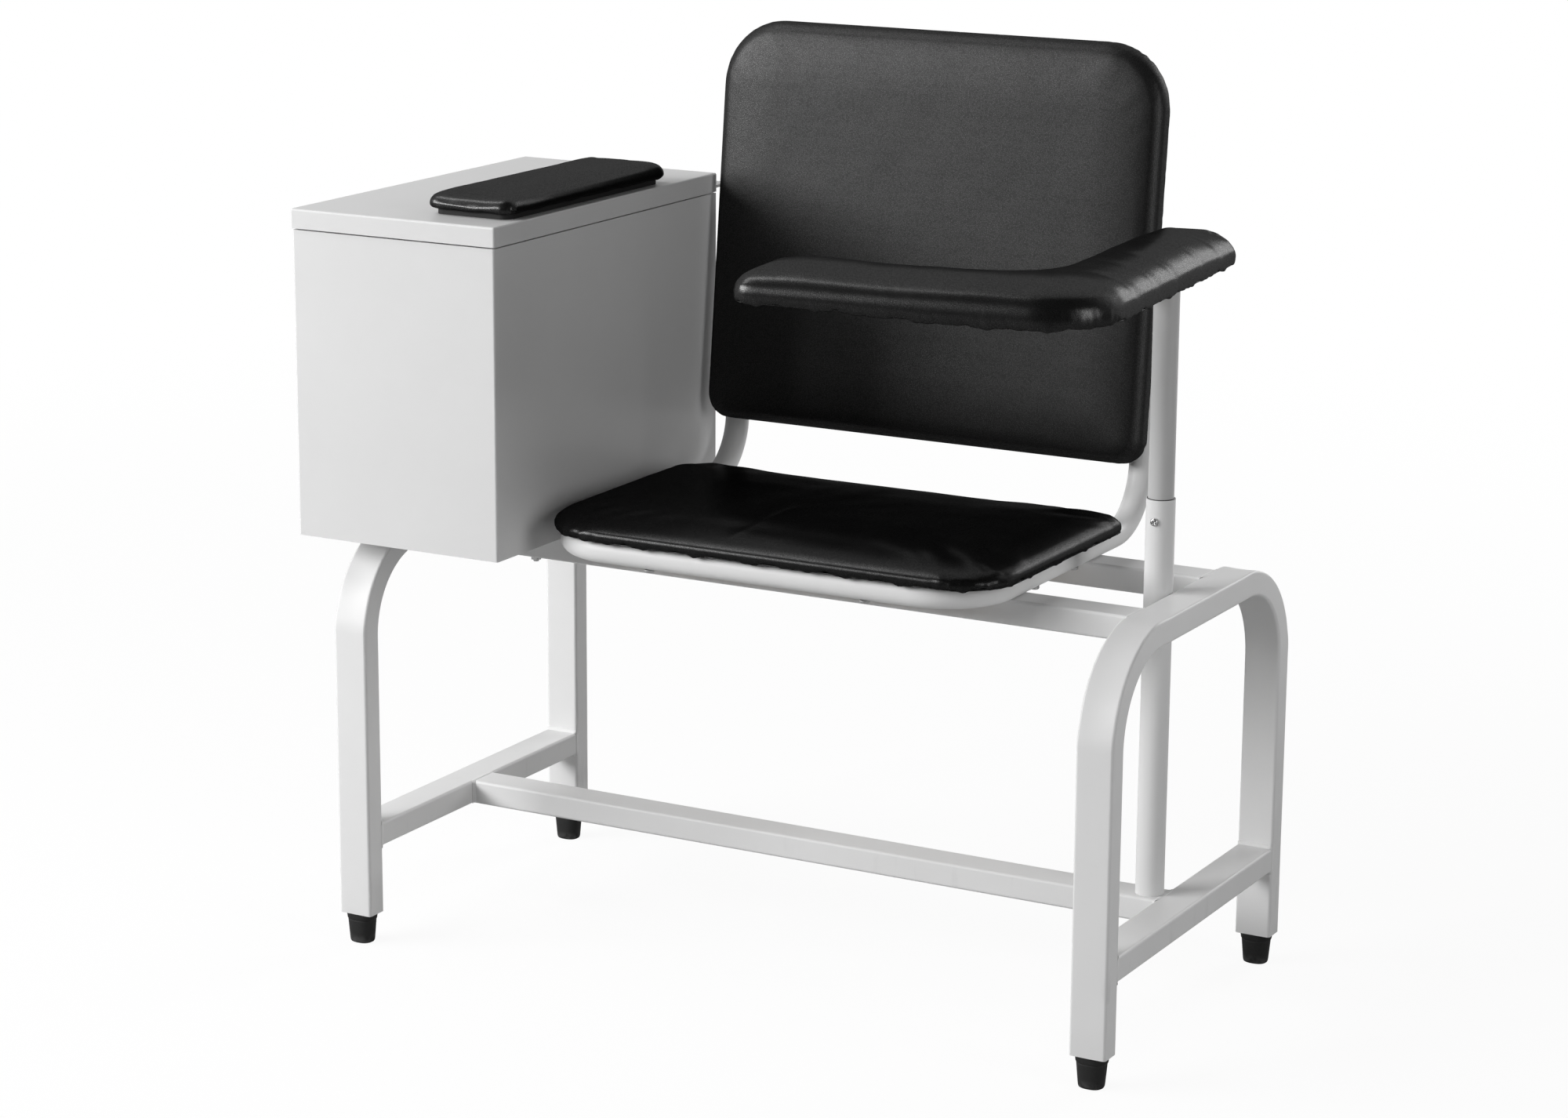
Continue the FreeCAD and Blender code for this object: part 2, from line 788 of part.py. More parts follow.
# Cabinet: a bent wrap makes the front and both sides, with a flange turned in round the top
outer = box(
    Vector(cabinet_left, cabinet_front, frame_height),
    Vector(cabinet_right, cabinet_rear, cabinet_top),
)
front_corners = [
    edge
    for edge in outer.Edges
    if abs(edge.tangentAt(edge.FirstParameter).z) > 0.9 and edge.BoundBox.YMax < cabinet_front + soft_gap
]
outer = outer.makeFillet(sheet_bend, front_corners)
inner = box(
    Vector(cabinet_left + sheet, cabinet_front + sheet, frame_height - cut_overrun),
    Vector(cabinet_right - sheet, cabinet_rear + cut_overrun, cabinet_top - sheet),
)
inner_corners = [
    edge
    for edge in inner.Edges
    if abs(edge.tangentAt(edge.FirstParameter).z) > 0.9
    and edge.BoundBox.YMax < cabinet_front + sheet + soft_gap
]
inner = inner.makeFillet(sheet_bend - sheet, inner_corners)
mouth = box(
    Vector(cabinet_left + cabinet_flange, cabinet_front + cabinet_flange, cabinet_top - cut_overrun),
    Vector(cabinet_right - cabinet_flange, cabinet_rear + cut_overrun, cabinet_top + cut_overrun),
)
parts["cabinet_wrap"] = outer.cut(inner).cut(mouth)

# Cabinet back, let in between the sides, with its own top flange between theirs
back_panel = box(
    Vector(cabinet_left + sheet, cabinet_rear - sheet, frame_height),
    Vector(cabinet_right - sheet, cabinet_rear, cabinet_top - sheet),
)
back_flange = box(
    Vector(cabinet_left + cabinet_flange, cabinet_rear - cabinet_flange, cabinet_top - sheet),
    Vector(cabinet_right - cabinet_flange, cabinet_rear, cabinet_top),
)
parts["cabinet_back"] = back_panel.fuse(back_flange).removeSplitter()

# Cabinet floor, laid on the beams inside the walls
floor_plate = box(
    Vector(cabinet_left + sheet, cabinet_front + sheet, frame_height),
    Vector(cabinet_right - sheet, cabinet_rear - sheet, frame_height + floor_sheet),
)
floor_edges = [
    edge
    for edge in floor_plate.Edges
    if abs(edge.tangentAt(edge.FirstParameter).z) > 0.9
    and edge.BoundBox.YMax < cabinet_front + sheet + soft_gap
]
floor_plate = floor_plate.makeFillet(sheet_bend - sheet, floor_edges)
for place in bolt_places:
    floor_plate = floor_plate.cut(bolt_cutter(place, bolt_hole_radius))
parts["cabinet_floor"] = floor_plate

# Bolts that hold the cabinet down: domed head inside, washer and nut under the beam
bolts = []
washers = []
nuts = []
beam_low = frame_height - rail_depth
nut_radius = cabinet_nut_width / math.sqrt(3)
for place in bolt_places:
    seat = place + Vector(0, 0, floor_sheet)
    head = rod(seat, cabinet_bolt_head_radius, cabinet_bolt_head_height)
    top_rim = [edge for edge in head.Edges if edge.BoundBox.ZMin > seat.z + cabinet_bolt_head_height / 2]
    head = head.makeFillet(cabinet_bolt_head_height * head_round_share, top_rim)
    under = cabinet_washer_height + cabinet_nut_height + cabinet_bolt_end
    shank_length = floor_sheet + rail_depth + under
    shank = rod(seat - Vector(0, 0, shank_length), cabinet_bolt_radius, shank_length)
    bolts.append(head.fuse(shank).removeSplitter())
    washer_low = Vector(place.x, place.y, beam_low - cabinet_washer_height)
    washers.append(ring(washer_low, cabinet_washer_radius, bolt_hole_radius, cabinet_washer_height))
    nut_low = washer_low - Vector(0, 0, cabinet_nut_height)
    corners = []
    for step in range(7):
        turn = math.radians(60 * step)
        corners.append(nut_low + Vector(nut_radius * math.cos(turn), nut_radius * math.sin(turn), 0))
    nut = Part.Face(Part.makePolygon(corners)).extrude(Vector(0, 0, cabinet_nut_height))
    nuts.append(nut.cut(rod(nut_low, cabinet_bolt_radius + clamp_hole_clearance, cabinet_nut_height)))
parts["cabinet_bolts"] = Part.makeCompound(bolts)
parts["cabinet_washers"] = Part.makeCompound(washers)
parts["cabinet_nuts"] = Part.makeCompound(nuts)

# Lid: a shallow pan turned upside down, with a hem turned in round its lower edge
lid_left = cabinet_left - lid_overhang
lid_right = cabinet_right + lid_overhang
lid_front = cabinet_front - lid_overhang
lid_low = cabinet_top + lid_gap
lid_top = lid_low + lid_height
pan = box(Vector(lid_left, lid_front, lid_low), Vector(lid_right, cabinet_rear, lid_top))
rounded = [
    edge
    for edge in pan.Edges
    if edge.BoundBox.ZMin > lid_top - soft_gap or abs(edge.tangentAt(edge.FirstParameter).z) > 0.9
]
pan = pan.makeFillet(sheet_bend, rounded)
hollow = box(
    Vector(lid_left + sheet, lid_front + sheet, lid_low + sheet),
    Vector(lid_right - sheet, cabinet_rear - sheet, lid_top - sheet),
)
hollow = hollow.makeFillet(sheet_bend - sheet, [edge for edge in hollow.Edges])
lid_mouth = box(
    Vector(lid_left + lid_hem, lid_front + lid_hem, lid_low - cut_overrun),
    Vector(lid_right - lid_hem, cabinet_rear - lid_hem, lid_low + 2 * sheet),
)
lid = pan.cut(hollow).cut(lid_mouth)

# Rubber bumpers on the cabinet's flange that the lid's hem rests on
bumpers = []
for x in (cabinet_left + bumper_inset, cabinet_right - bumper_inset):
    for y in (cabinet_front + bumper_setback, cabinet_rear - bumper_setback):
        bumpers.append(rod(Vector(x, y, cabinet_top), bumper_radius, lid_gap))
parts["lid_bumpers"] = Part.makeCompound(bumpers)

# Piano hinge on the cabinet's back: two leaves with alternating knuckles on one pin
hinge_y = cabinet_rear + hinge_barrel_radius + hinge_seat_gap
hinge_z = cabinet_top + lid_gap / 2
hinge_start = cabinet_left + hinge_end_margin
hinge_length = cabinet_width - 2 * hinge_end_margin
knuckle_pitch = hinge_length / hinge_knuckles
knuckle_clear = hinge_barrel_radius + hinge_seat_gap


def hinge_half(side, leaf_height, first):
    """One leaf, above or below the pin, with every second knuckle."""
    low = hinge_z + side * knuckle_clear
    high = hinge_z + side * leaf_height
    shape = box(
        Vector(hinge_start, cabinet_rear, min(low, high)),
        Vector(hinge_start + hinge_length, cabinet_rear + hinge_leaf, max(low, high)),
    )
    joined = []
    for index in range(first, hinge_knuckles, 2):
        start = hinge_start + index * knuckle_pitch + hinge_knuckle_gap / 2
        length = knuckle_pitch - hinge_knuckle_gap
        barrel = rod(Vector(start, hinge_y, hinge_z), hinge_barrel_radius, length, Vector(1, 0, 0))
        tongue = box(
            Vector(start, cabinet_rear, min(hinge_z, low)),
            Vector(start + length, cabinet_rear + hinge_leaf, max(hinge_z, low)),
        )
        joined.append(barrel)
        joined.append(tongue)
    shape = shape.fuse(joined).removeSplitter()
    reach = hinge_length + 2 * cut_overrun
    bore = rod(
        Vector(hinge_start - cut_overrun, hinge_y, hinge_z),
        hinge_pin_radius + hinge_pin_fit,
        reach,
        Vector(1, 0, 0),
    )
    return shape.cut(bore)


parts["hinge_fixed_leaf"] = hinge_half(-1, hinge_fixed_leaf_height, 0)
parts["hinge_moving_leaf"] = hinge_half(1, hinge_moving_leaf_height, 1)
pin_start = Vector(hinge_start, hinge_y, hinge_z)
parts["hinge_pin"] = rod(pin_start, hinge_pin_radius, hinge_length, Vector(1, 0, 0))

# Two lugs on the lid's rear skirt that meet the cabinet's back and stop the open lid
lugs = []
for low_x in (lid_left + lug_margin, lid_right - lug_margin - lug_width):
    lugs.append(
        box(
            Vector(low_x, cabinet_rear, hinge_z + lug_lift),
            Vector(low_x + lug_width, hinge_y + lug_reach, hinge_z + lug_lift + lug_thickness),
        )
    )
parts["lid_stop_lugs"] = Part.makeCompound(lugs)

# Arm-rest pad on the lid: a recessed base board and a cushion, screwed from inside the lid
pad_right = cabinet_right - lid_pad_edge_margin
pad_left = pad_right - lid_pad_width
pad_rear = cabinet_rear - lid_pad_rear_setback
pad_front = pad_rear - lid_pad_length


def lid_pad_outline(inset):
    """Lid pad outline drawn in by the inset."""
    points = rectangle(pad_left, pad_right, pad_front, pad_rear, inset)
    return points, [eased(lid_pad_corner, inset)] * 4


points, radii = lid_pad_outline(lid_pad_base_inset)
pad_base = plate(points, radii, lid_top, lid_pad_base_height)
pad_low = lid_top + lid_pad_base_height
lid_pad = cushion(lid_pad_outline, pad_low, lid_pad_height, lid_pad_crown_reach)
parts["lid_pad_cushion"] = lid_pad
pad_middle = (pad_left + pad_right) / 2
lid_screw_seat = lid_top - sheet
lid_screw_grip = sheet + lid_screw_bite
lid_screws = []
for y in (pad_front + lid_screw_end_inset, pad_rear - lid_screw_end_inset):
    screw = pan_screw(lid_screw_grip)
    screw.translate(Vector(pad_middle, y, lid_screw_seat))
    lid_screws.append(screw)
    drill = rod(Vector(pad_middle, y, lid_screw_seat), screw_hole_radius, lid_screw_grip)
    lid = lid.cut(drill)
    pad_base = pad_base.cut(drill)
parts["cabinet_lid"] = lid
parts["lid_pad_base"] = pad_base
parts["lid_pad_screws"] = Part.makeCompound(lid_screws)

# The whole chair is moved so that its footprint is centred on the origin, and each piece is written
whole = FreeCAD.BoundBox()
for shape in parts.values():
    whole.add(shape.BoundBox)
to_origin = Vector(-whole.Center.x, -whole.Center.y, 0)
os.makedirs("parts", exist_ok=True)
for name, shape in parts.items():
    shape.translate(to_origin)
    shape.exportStep("parts/" + name + ".step")
    bounds = shape.BoundBox
    print(name, shape.isValid(), len(shape.Solids), round(shape.Volume), bounds)
print("moved by", to_origin)
print("extent", whole.XLength, whole.YLength, whole.ZLength)
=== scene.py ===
import math

import bmesh
import bpy
import numpy as np
from mathutils import Matrix, Vector, noise


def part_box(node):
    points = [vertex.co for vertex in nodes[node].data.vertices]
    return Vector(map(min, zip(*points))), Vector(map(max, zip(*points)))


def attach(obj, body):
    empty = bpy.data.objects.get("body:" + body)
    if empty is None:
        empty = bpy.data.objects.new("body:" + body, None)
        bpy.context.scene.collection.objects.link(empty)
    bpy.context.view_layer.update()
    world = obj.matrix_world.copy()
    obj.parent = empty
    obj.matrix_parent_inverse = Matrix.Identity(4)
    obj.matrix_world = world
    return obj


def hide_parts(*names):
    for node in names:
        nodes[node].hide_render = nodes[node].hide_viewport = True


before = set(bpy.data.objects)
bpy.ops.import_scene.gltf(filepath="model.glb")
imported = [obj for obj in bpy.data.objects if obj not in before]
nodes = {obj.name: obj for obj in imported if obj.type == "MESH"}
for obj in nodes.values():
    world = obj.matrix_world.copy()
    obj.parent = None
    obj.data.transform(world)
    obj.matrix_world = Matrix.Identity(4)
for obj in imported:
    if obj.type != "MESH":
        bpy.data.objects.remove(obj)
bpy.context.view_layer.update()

# The camera stands in front of the chair on the side of the arm post, a little above the back's top
# edge, with a long lens. All places are metres from the middle of the four legs.
left_hoop_low, left_hoop_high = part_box("left_end_hoop")
right_hoop_low, right_hoop_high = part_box("right_end_hoop")
middle = Vector(((left_hoop_low.x + right_hoop_high.x) / 2, (left_hoop_low.y + left_hoop_high.y) / 2, 0))
camera_place = middle + Vector((1.8606, -3.4286, 1.3794))
camera_yaw = math.radians(28.8693)
camera_pitch = math.radians(13.8242)
camera_roll = math.radians(0.3393)
sensor_width = 36.0
focal_pixels = 5042.9
picture_width = 2000
forward = Vector((
    -math.sin(camera_yaw) * math.cos(camera_pitch),
    math.cos(camera_yaw) * math.cos(camera_pitch),
    -math.sin(camera_pitch),
))
level_right = Vector((math.cos(camera_yaw), math.sin(camera_yaw), 0))
level_up = level_right.cross(forward)
picture_right = level_right * math.cos(camera_roll) + level_up * math.sin(camera_roll)
picture_up = level_up * math.cos(camera_roll) - level_right * math.sin(camera_roll)
camera_data = bpy.data.cameras.new("camera")
camera_data.sensor_width = sensor_width
camera_data.lens = focal_pixels / picture_width * sensor_width
camera_data.clip_end = 60.0
camera = bpy.data.objects.new("camera", camera_data)
camera.matrix_world = Matrix((
    (picture_right.x, picture_up.x, -forward.x, camera_place.x),
    (picture_right.y, picture_up.y, -forward.y, camera_place.y),
    (picture_right.z, picture_up.z, -forward.z, camera_place.z),
    (0, 0, 0, 1),
))
bpy.context.scene.collection.objects.link(camera)
bpy.context.scene.camera = camera
bpy.context.scene.view_settings.view_transform = "Standard"


# White paint on the steel frame: two-part gloss sprayed over rolled tube, so it has a fine orange peel,
# a faint unevenness of shade and a few grains of dust under the gloss.
class Signal:
    """One socket of a material, on which sums are written as sums."""

    def __init__(self, tree, socket):
        self.tree = tree
        self.socket = socket

    def node(self, kind, settings, inputs, output=0):
        """Adds a node, its settings first and then the values or links of its sockets."""
        made = self.tree.nodes.new("ShaderNode" + kind)
        for name, value in settings.items():
            setattr(made, name, value)
        for name, value in inputs.items():
            if isinstance(value, Signal):
                self.tree.links.new(value.socket, made.inputs[name])
            else:
                made.inputs[name].default_value = value
        return Signal(self.tree, made.outputs[output])

    def sum(self, operation, first, second):
        """One step of arithmetic between two values."""
        return self.node("Math", {"operation": operation}, {0: first, 1: second})

    def __add__(self, other):
        return self.sum("ADD", self, other)

    __radd__ = __add__

    def __mul__(self, other):
        return self.sum("MULTIPLY", self, other)

    __rmul__ = __mul__

    def __sub__(self, other):
        return self.sum("SUBTRACT", self, other)

    def __rsub__(self, other):
        return self.sum("SUBTRACT", other, self)

    def above(self, edge, width):
        """0 below the edge, 1 above it, blended over the width."""
        inputs = {"Value": self, "From Min": edge - width / 2, "From Max": edge + width / 2}
        return self.node("MapRange", {"interpolation_type": "SMOOTHSTEP"}, inputs)

    def noise(self, scale, detail=2.0, rough=0.5):
        """Cloudy values from 0 to 1, with blotches of about one over the scale in metres."""
        inputs = {"Vector": self, "Scale": scale, "Detail": detail, "Roughness": rough}
        return self.node("TexNoise", {}, inputs)

    def blend(self, first, second):
        """The first colour where this is 0 and the second where it is 1."""
        settings = {"data_type": "RGBA"}
        return self.node("Mix", settings, {"Factor": self, 6: first, 7: second}, output=2)

    def bump(self, distance, strength=1.0, below=None):
        """A normal raised by this height."""
        inputs = {"Height": self, "Distance": distance, "Strength": strength}
        if below is not None:
            inputs["Normal"] = below
        return self.node("Bump", {}, inputs)


def finish(name, constants):
    """A new material: its shader with the values that are the same all over, and its object coordinates."""
    made = bpy.data.materials.new(name)
    made.use_nodes = True
    tree = made.node_tree
    shader = tree.nodes["Principled BSDF"]
    for socket, value in constants.items():
        shader.inputs[socket].default_value = value
    place = tree.nodes.new("ShaderNodeTexCoord")
    return made, shader, Signal(tree, place.outputs["Object"])


def connect(shader, **signals):
    """Links signals to the shader's sockets, written with underscores for spaces."""
    for name, signal in signals.items():
        signal.tree.links.new(signal.socket, shader.inputs[name.replace("_", " ")])


def grey(value):
    """A colour with no hue."""
    return (value, value, value, 1.0)


def gloss_paint(name, shade, scuff_height):
    """Sprayed gloss paint of one shade, scuffed a little below the given height."""
    made, shader, place = finish(name, {"Specular IOR Level": 0.10, "Coat Roughness": 0.30, "Coat IOR": 1.5})
    cloud = place.noise(9.0, 3.0)
    dust = place.noise(900.0, 1.0).above(0.80, 0.05)
    streak = place.node("Mapping", {}, {"Vector": place, "Scale": (60.0, 60.0, 7.0)}).noise(1.0, 4.0, 0.6)
    height = place.node("SeparateXYZ", {}, {"Vector": place}, output=2)
    low = 1 - height.above(scuff_height, scuff_height)
    scuff = low * streak.above(0.62, 0.10) * place.noise(25.0).above(0.52, 0.2)
    shade_now = cloud.blend(grey(shade * 0.965), grey(min(1.0, shade * 1.02)))
    worn = (scuff * 0.35 + dust * 0.12).blend(shade_now, grey(shade * 0.55))
    peel = place.noise(420.0, 2.0, 0.45)
    sag = place.noise(14.0, 1.0)
    normal = peel.bump(0.00012, 0.35, below=sag.bump(0.004, 0.10))
    connect(
        shader,
        Base_Color=worn,
        Roughness=0.40 + cloud * 0.06 + scuff * 0.25,
        Coat_Weight=0.16 - scuff * 0.1,
        Normal=normal,
    )
    return made


def paint_node(name, material):
    """Gives a node of the frame its material."""
    for place in nodes[name].material_slots:
        place.material = material


frame_paint = gloss_paint("frame_gloss_paint", 0.74, 0.10)


# End hoops: each is one rectangular steel tube bent into an inverted U. The bends flatten the outside
# wall a little and spread the inside, and the open ends show the wall round the rubber foot's stem.
rail_width = left_hoop_high.x - left_hoop_low.x
rail_depth = 0.0254
rail_wall = 0.0015
rail_corner = 0.003
hoop_bend = 0.105
hoop_dish = 0.0016
hoop_spread = 0.028


def mesh_object(name, points, faces, material, smooth=True):
    """A new object from points and faces."""
    mesh = bpy.data.meshes.new(name)
    mesh.from_pydata([tuple(p) for p in points], [], faces)
    mesh.validate()
    mesh.update()
    if smooth:
        mesh.shade_smooth()
    made = bpy.data.objects.new(name, mesh)
    bpy.context.scene.collection.objects.link(made)
    mesh.materials.append(material)
    return made


def faced_outward(piece):
    """Turns every face of a piece outward."""
    mesh = bmesh.new()
    mesh.from_mesh(piece.data)
    bmesh.ops.recalc_face_normals(mesh, faces=mesh.faces)
    mesh.to_mesh(piece.data)
    mesh.free()
    return piece


def even_normals(piece):
    """Large flat faces keep their own normal, and the small rounds between them take up the turn."""
    weighted = piece.modifiers.new("even_normals", "WEIGHTED_NORMAL")
    weighted.weight = 80
    weighted.keep_sharp = False
    return piece


def rounded_section(width, depth, corner, corner_steps=5, side_steps=6):
    """Closed outline of a rounded rectangle about the origin, as a list of 2-D points."""
    points = []
    centres = (
        (width / 2 - corner, depth / 2 - corner, 0),
        (-width / 2 + corner, depth / 2 - corner, 90),
        (-width / 2 + corner, -depth / 2 + corner, 180),
        (width / 2 - corner, -depth / 2 + corner, 270),
    )
    for index, (across, along, start) in enumerate(centres):
        for step in range(corner_steps + 1):
            turn = math.radians(start + 90 * step / corner_steps)
            points.append((across + corner * math.cos(turn), along + corner * math.sin(turn)))
        next_across, next_along, next_start = centres[(index + 1) % 4]
        turn = math.radians(next_start)
        follow = (next_across + corner * math.cos(turn), next_along + corner * math.sin(turn))
        here = points[-1]
        for step in range(1, side_steps):
            share = step / side_steps
            points.append((here[0] + (follow[0] - here[0]) * share, here[1] + (follow[1] - here[1]) * share))
    return points


def ring_faces(ring_count, ring_size, first=0, closed=False, flip=False):
    """Quads between rings of points."""
    faces = []
    for ring in range(ring_count if closed else ring_count - 1):
        here = first + ring * ring_size
        there = first + ((ring + 1) % ring_count) * ring_size
        for step in range(ring_size):
            after = (step + 1) % ring_size
            quad = (here + step, here + after, there + after, there + step)
            faces.append(quad[::-1] if flip else quad)
    return faces


def end_faces(ring_count, ring_size, flip=False):
    """The two faces that close the first and the last of a row of rings."""
    first = tuple(range(ring_size))
    last = tuple(range((ring_count - 1) * ring_size, ring_count * ring_size))
    return [first, last[::-1]] if flip else [first[::-1], last]


def hoop_path(half, top, foot):
    """Stations along the U: place on the outside line, outward direction and share of the bend."""
    stations = []
    for step in range(10):
        stations.append(((-half, foot + (top - hoop_bend - foot) * step / 10), (-1, 0), 0.0))
    for step in range(41):
        turn = math.radians(90 * step / 40)
        way = (-math.cos(turn), math.sin(turn))
        corner = (-half + hoop_bend, top - hoop_bend)
        stations.append(((corner[0] + hoop_bend * way[0], corner[1] + hoop_bend * way[1]), way, step / 40))
    run = 2 * (half - hoop_bend)
    for step in range(1, 12):
        stations.append(((-half + hoop_bend + run * step / 12, top), (0, 1), 0.0))
    mirrored = [((-p[0], p[1]), (-w[0], w[1]), b) for p, w, b in stations[:51]]
    return stations + mirrored[::-1]


def hoop(name, low, high):
    """One end hoop: the tube's outer and inner skins along the U, joined at the open ends."""
    half = (high.y - low.y) / 2
    middle_y = (high.y + low.y) / 2
    middle_x = (high.x + low.x) / 2
    points = []
    rings = 0
    for inset in (0.0, rail_wall):
        section = rounded_section(rail_width - 2 * inset, rail_depth - 2 * inset, rail_corner - inset)
        for place, way, bend in hoop_path(half, high.z, low.z):
            bent = math.sin(math.pi * bend) ** 0.6
            shoulder = math.exp(-((bend - 0.06) / 0.07) ** 2) + math.exp(-((bend - 0.94) / 0.07) ** 2)
            if bend == 0.0:
                shoulder = 0.0
            for across, out in section:
                outside = 0.5 + out / (rail_depth - 2 * inset)
                hollow = hoop_dish * bent * outside * (1 - (2 * across / rail_width) ** 2)
                rise = 0.0009 * shoulder * outside - 0.0010 * bent * outside
                wide = 1 + hoop_spread * bent * (1 - outside)
                depth = rail_depth / 2 - out + hollow - rise
                points.append((
                    middle_x + across * wide,
                    middle_y + place[0] - way[0] * depth,
                    place[1] - way[1] * depth,
                ))
        rings = len(hoop_path(half, high.z, low.z))
    size = len(points) // 2 // rings
    faces = ring_faces(rings, size, flip=True) + ring_faces(rings, size, first=rings * size)
    for ring in (0, rings - 1):
        outer = ring * size
        inner = (rings + ring) * size
        for step in range(size):
            after = (step + 1) % size
            quad = (outer + step, outer + after, inner + after, inner + step)
            faces.append(quad if ring == 0 else quad[::-1])
    piece = even_normals(mesh_object(name + "_painted", points, faces, frame_paint))
    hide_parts(name)
    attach(piece, "frame")
    return piece


hoop("left_end_hoop", left_hoop_low, left_hoop_high)
hoop("right_end_hoop", right_hoop_low, right_hoop_high)

# Straight rails: cut square from the same tube, butted flat against their neighbours, welded all
# round and ground flush where two faces are level, then painted with the rest of the frame.
for rail in ("left_cross_bar", "right_cross_bar", "long_stretcher", "front_seat_beam", "rear_seat_beam"):
    paint_node(rail, frame_paint)

weld_leg = 0.0030
weld_fill = 0.0034
weld_rise = 0.00005


def weld_collar(rail, along, end, flush):
    """Weld round one end of a rail: ground flush on the flush sides and a small fillet on the others."""
    low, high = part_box(rail)
    centre = (low + high) / 2
    run = Vector((1, 0, 0)) if along == "x" else Vector((0, 1, 0))
    side = Vector((0, 1, 0)) if along == "x" else Vector((1, 0, 0))
    up = Vector((0, 0, 1))
    start = centre + run * ((high - low).dot(run) / 2) * end
    inward = run * -end
    section = rounded_section(rail_width, rail_depth, rail_corner, 6, 14)
    points = []
    profile = ((1.0, 0.0), (0.55, 0.16), (0.25, 0.42), (0.0, 1.0))
    for index, (across, rise) in enumerate(section):
        before = Vector(section[index - 1])
        after = Vector(section[(index + 1) % len(section)])
        way = (after - before).normalized()
        normal = side * way.y - up * way.x
        level = abs(normal.dot(up if flush == "z" else side)) ** 3
        fillet = 1 - level
        place = start + side * across + up * rise
        lump = 1 + 0.22 * noise.noise(place * 260)
        for back, out in profile:
            reach = weld_leg * fillet * back * lump + level * weld_fill * (back - 0.75) * 1.35
            raise_by = weld_leg * fillet * out * lump + weld_rise * level
            points.append(place + inward * reach + normal * (raise_by + 0.00002))
    size = len(profile)
    faces = []
    for index in range(len(section)):
        here = index * size
        there = ((index + 1) % len(section)) * size
        for step in range(size - 1):
            faces.append((here + step, here + step + 1, there + step + 1, there + step))
    return points, faces


def joined(name, bodies, material):
    """One object from several lists of points and faces."""
    points = []
    faces = []
    for more_points, more_faces in bodies:
        first = len(points)
        points += more_points
        faces += [tuple(first + corner for corner in face) for face in more_faces]
    return faced_outward(mesh_object(name, points, faces, material))


welds = []
for rail in ("left_cross_bar", "right_cross_bar"):
    for end in (-1, 1):
        welds.append(weld_collar(rail, "y", end, "side"))
for rail in ("long_stretcher", "front_seat_beam", "rear_seat_beam"):
    for end in (-1, 1):
        welds.append(weld_collar(rail, "x", end, "z"))
weld_seams = joined("frame_weld_seams", welds, frame_paint)
weld_skin = weld_seams.modifiers.new("bead", "SOLIDIFY")
weld_skin.thickness = 0.0004
weld_skin.offset = -1
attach(weld_seams, "frame")

# Rubber feet: moulded oval cups pushed into the legs, with a lip under the tube's end, a shallow
# groove below it, a tapered body and a rounded sole that has picked up dust from the floor.
rubber, rubber_shader, place = finish("foot_rubber", {"Specular IOR Level": 0.35})
speckle = place.noise(700.0, 2.0)
height = place.node("SeparateXYZ", {}, {"Vector": place}, output=2)
dusty = (1 - height.above(0.006, 0.010)) * place.noise(120.0, 3.0).above(0.45, 0.3)
connect(
    rubber_shader,
    Base_Color=(dusty * 0.45).blend(grey(0.012), grey(0.10)),
    Roughness=0.55 + speckle * 0.2,
    Normal=speckle.bump(0.0002, 0.4),
)

foot_stem_top = 0.020
foot_steps = 48
foot_rings = (
    # height share, half length in x, half width in y, in metres
    (0.0, 0.0112, 0.0092),
    (0.015, 0.0121, 0.0100),
    (0.06, 0.0127, 0.0107),
    (0.12, 0.0130, 0.0109),
    (0.74, 0.0149, 0.0118),
    (0.765, 0.0150, 0.01185),
    (0.775, 0.0146, 0.0116),
    (0.79, 0.0147, 0.0117),
    (0.80, 0.0155, 0.0120),
    (0.815, 0.0158, 0.0121),
    (0.97, 0.0166, 0.0124),
    (0.995, 0.0167, 0.0124),
    (1.0, 0.0164, 0.0121),
)


def oval_ring(half_length, half_width, height, centre, power=2.4):
    """A slightly squared oval in a level plane."""
    points = []
    for step in range(foot_steps):
        turn = 2 * math.pi * step / foot_steps
        cos, sin = math.cos(turn), math.sin(turn)
        points.append((
            centre.x + half_length * math.copysign(abs(cos) ** (2 / power), cos),
            centre.y + half_width * math.copysign(abs(sin) ** (2 / power), sin),
            height,
        ))
    return points


for end in ("front", "rear"):
    for side in ("left", "right"):
        name = end + "_" + side + "_foot"
        low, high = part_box(name)
        centre = (low + high) / 2
        leg_end = left_hoop_low.z
        points = []
        for share, half_length, half_width in foot_rings:
            points += oval_ring(half_length, half_width, share * leg_end - 0.0001, centre)
        stem_half = (rail_width / 2 - rail_wall - 0.0001, rail_depth / 2 - rail_wall - 0.0001)
        for height_now in (leg_end + 0.0002, leg_end + foot_stem_top):
            points += oval_ring(stem_half[0], stem_half[1], height_now, centre, power=12.0)
        rings = len(points) // foot_steps
        faces = ring_faces(rings, foot_steps) + end_faces(rings, foot_steps)
        foot = mesh_object(name + "_rubber", points, faces, rubber)
        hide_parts(name)
        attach(foot, "frame")

# Seat and back tube: one length of round steel tube, bent five times: two front corners, two rear
# bends up and lying back behind the sitter. It is welded to the beams and painted with the frame.
tube_low, tube_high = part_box("seat_back_tube")
tube_radius = 0.0127
tube_front_bend = 0.065
tube_rear_bend = 0.066
back_lean = math.radians(6.0)
rear_sweep = math.pi / 2 - back_lean
tube_left = tube_low.x + tube_radius
tube_right = tube_high.x - tube_radius
tube_front = tube_low.y + tube_radius
tube_height = tube_low.z + tube_radius
upright_length = 0.232
upright_top = tube_high.y - tube_radius * math.cos(back_lean)
bend_end = upright_top - upright_length * math.sin(back_lean)
bend_start = bend_end - tube_rear_bend * math.sin(rear_sweep)
bend_end_height = tube_height + tube_rear_bend * (1 - math.cos(rear_sweep))


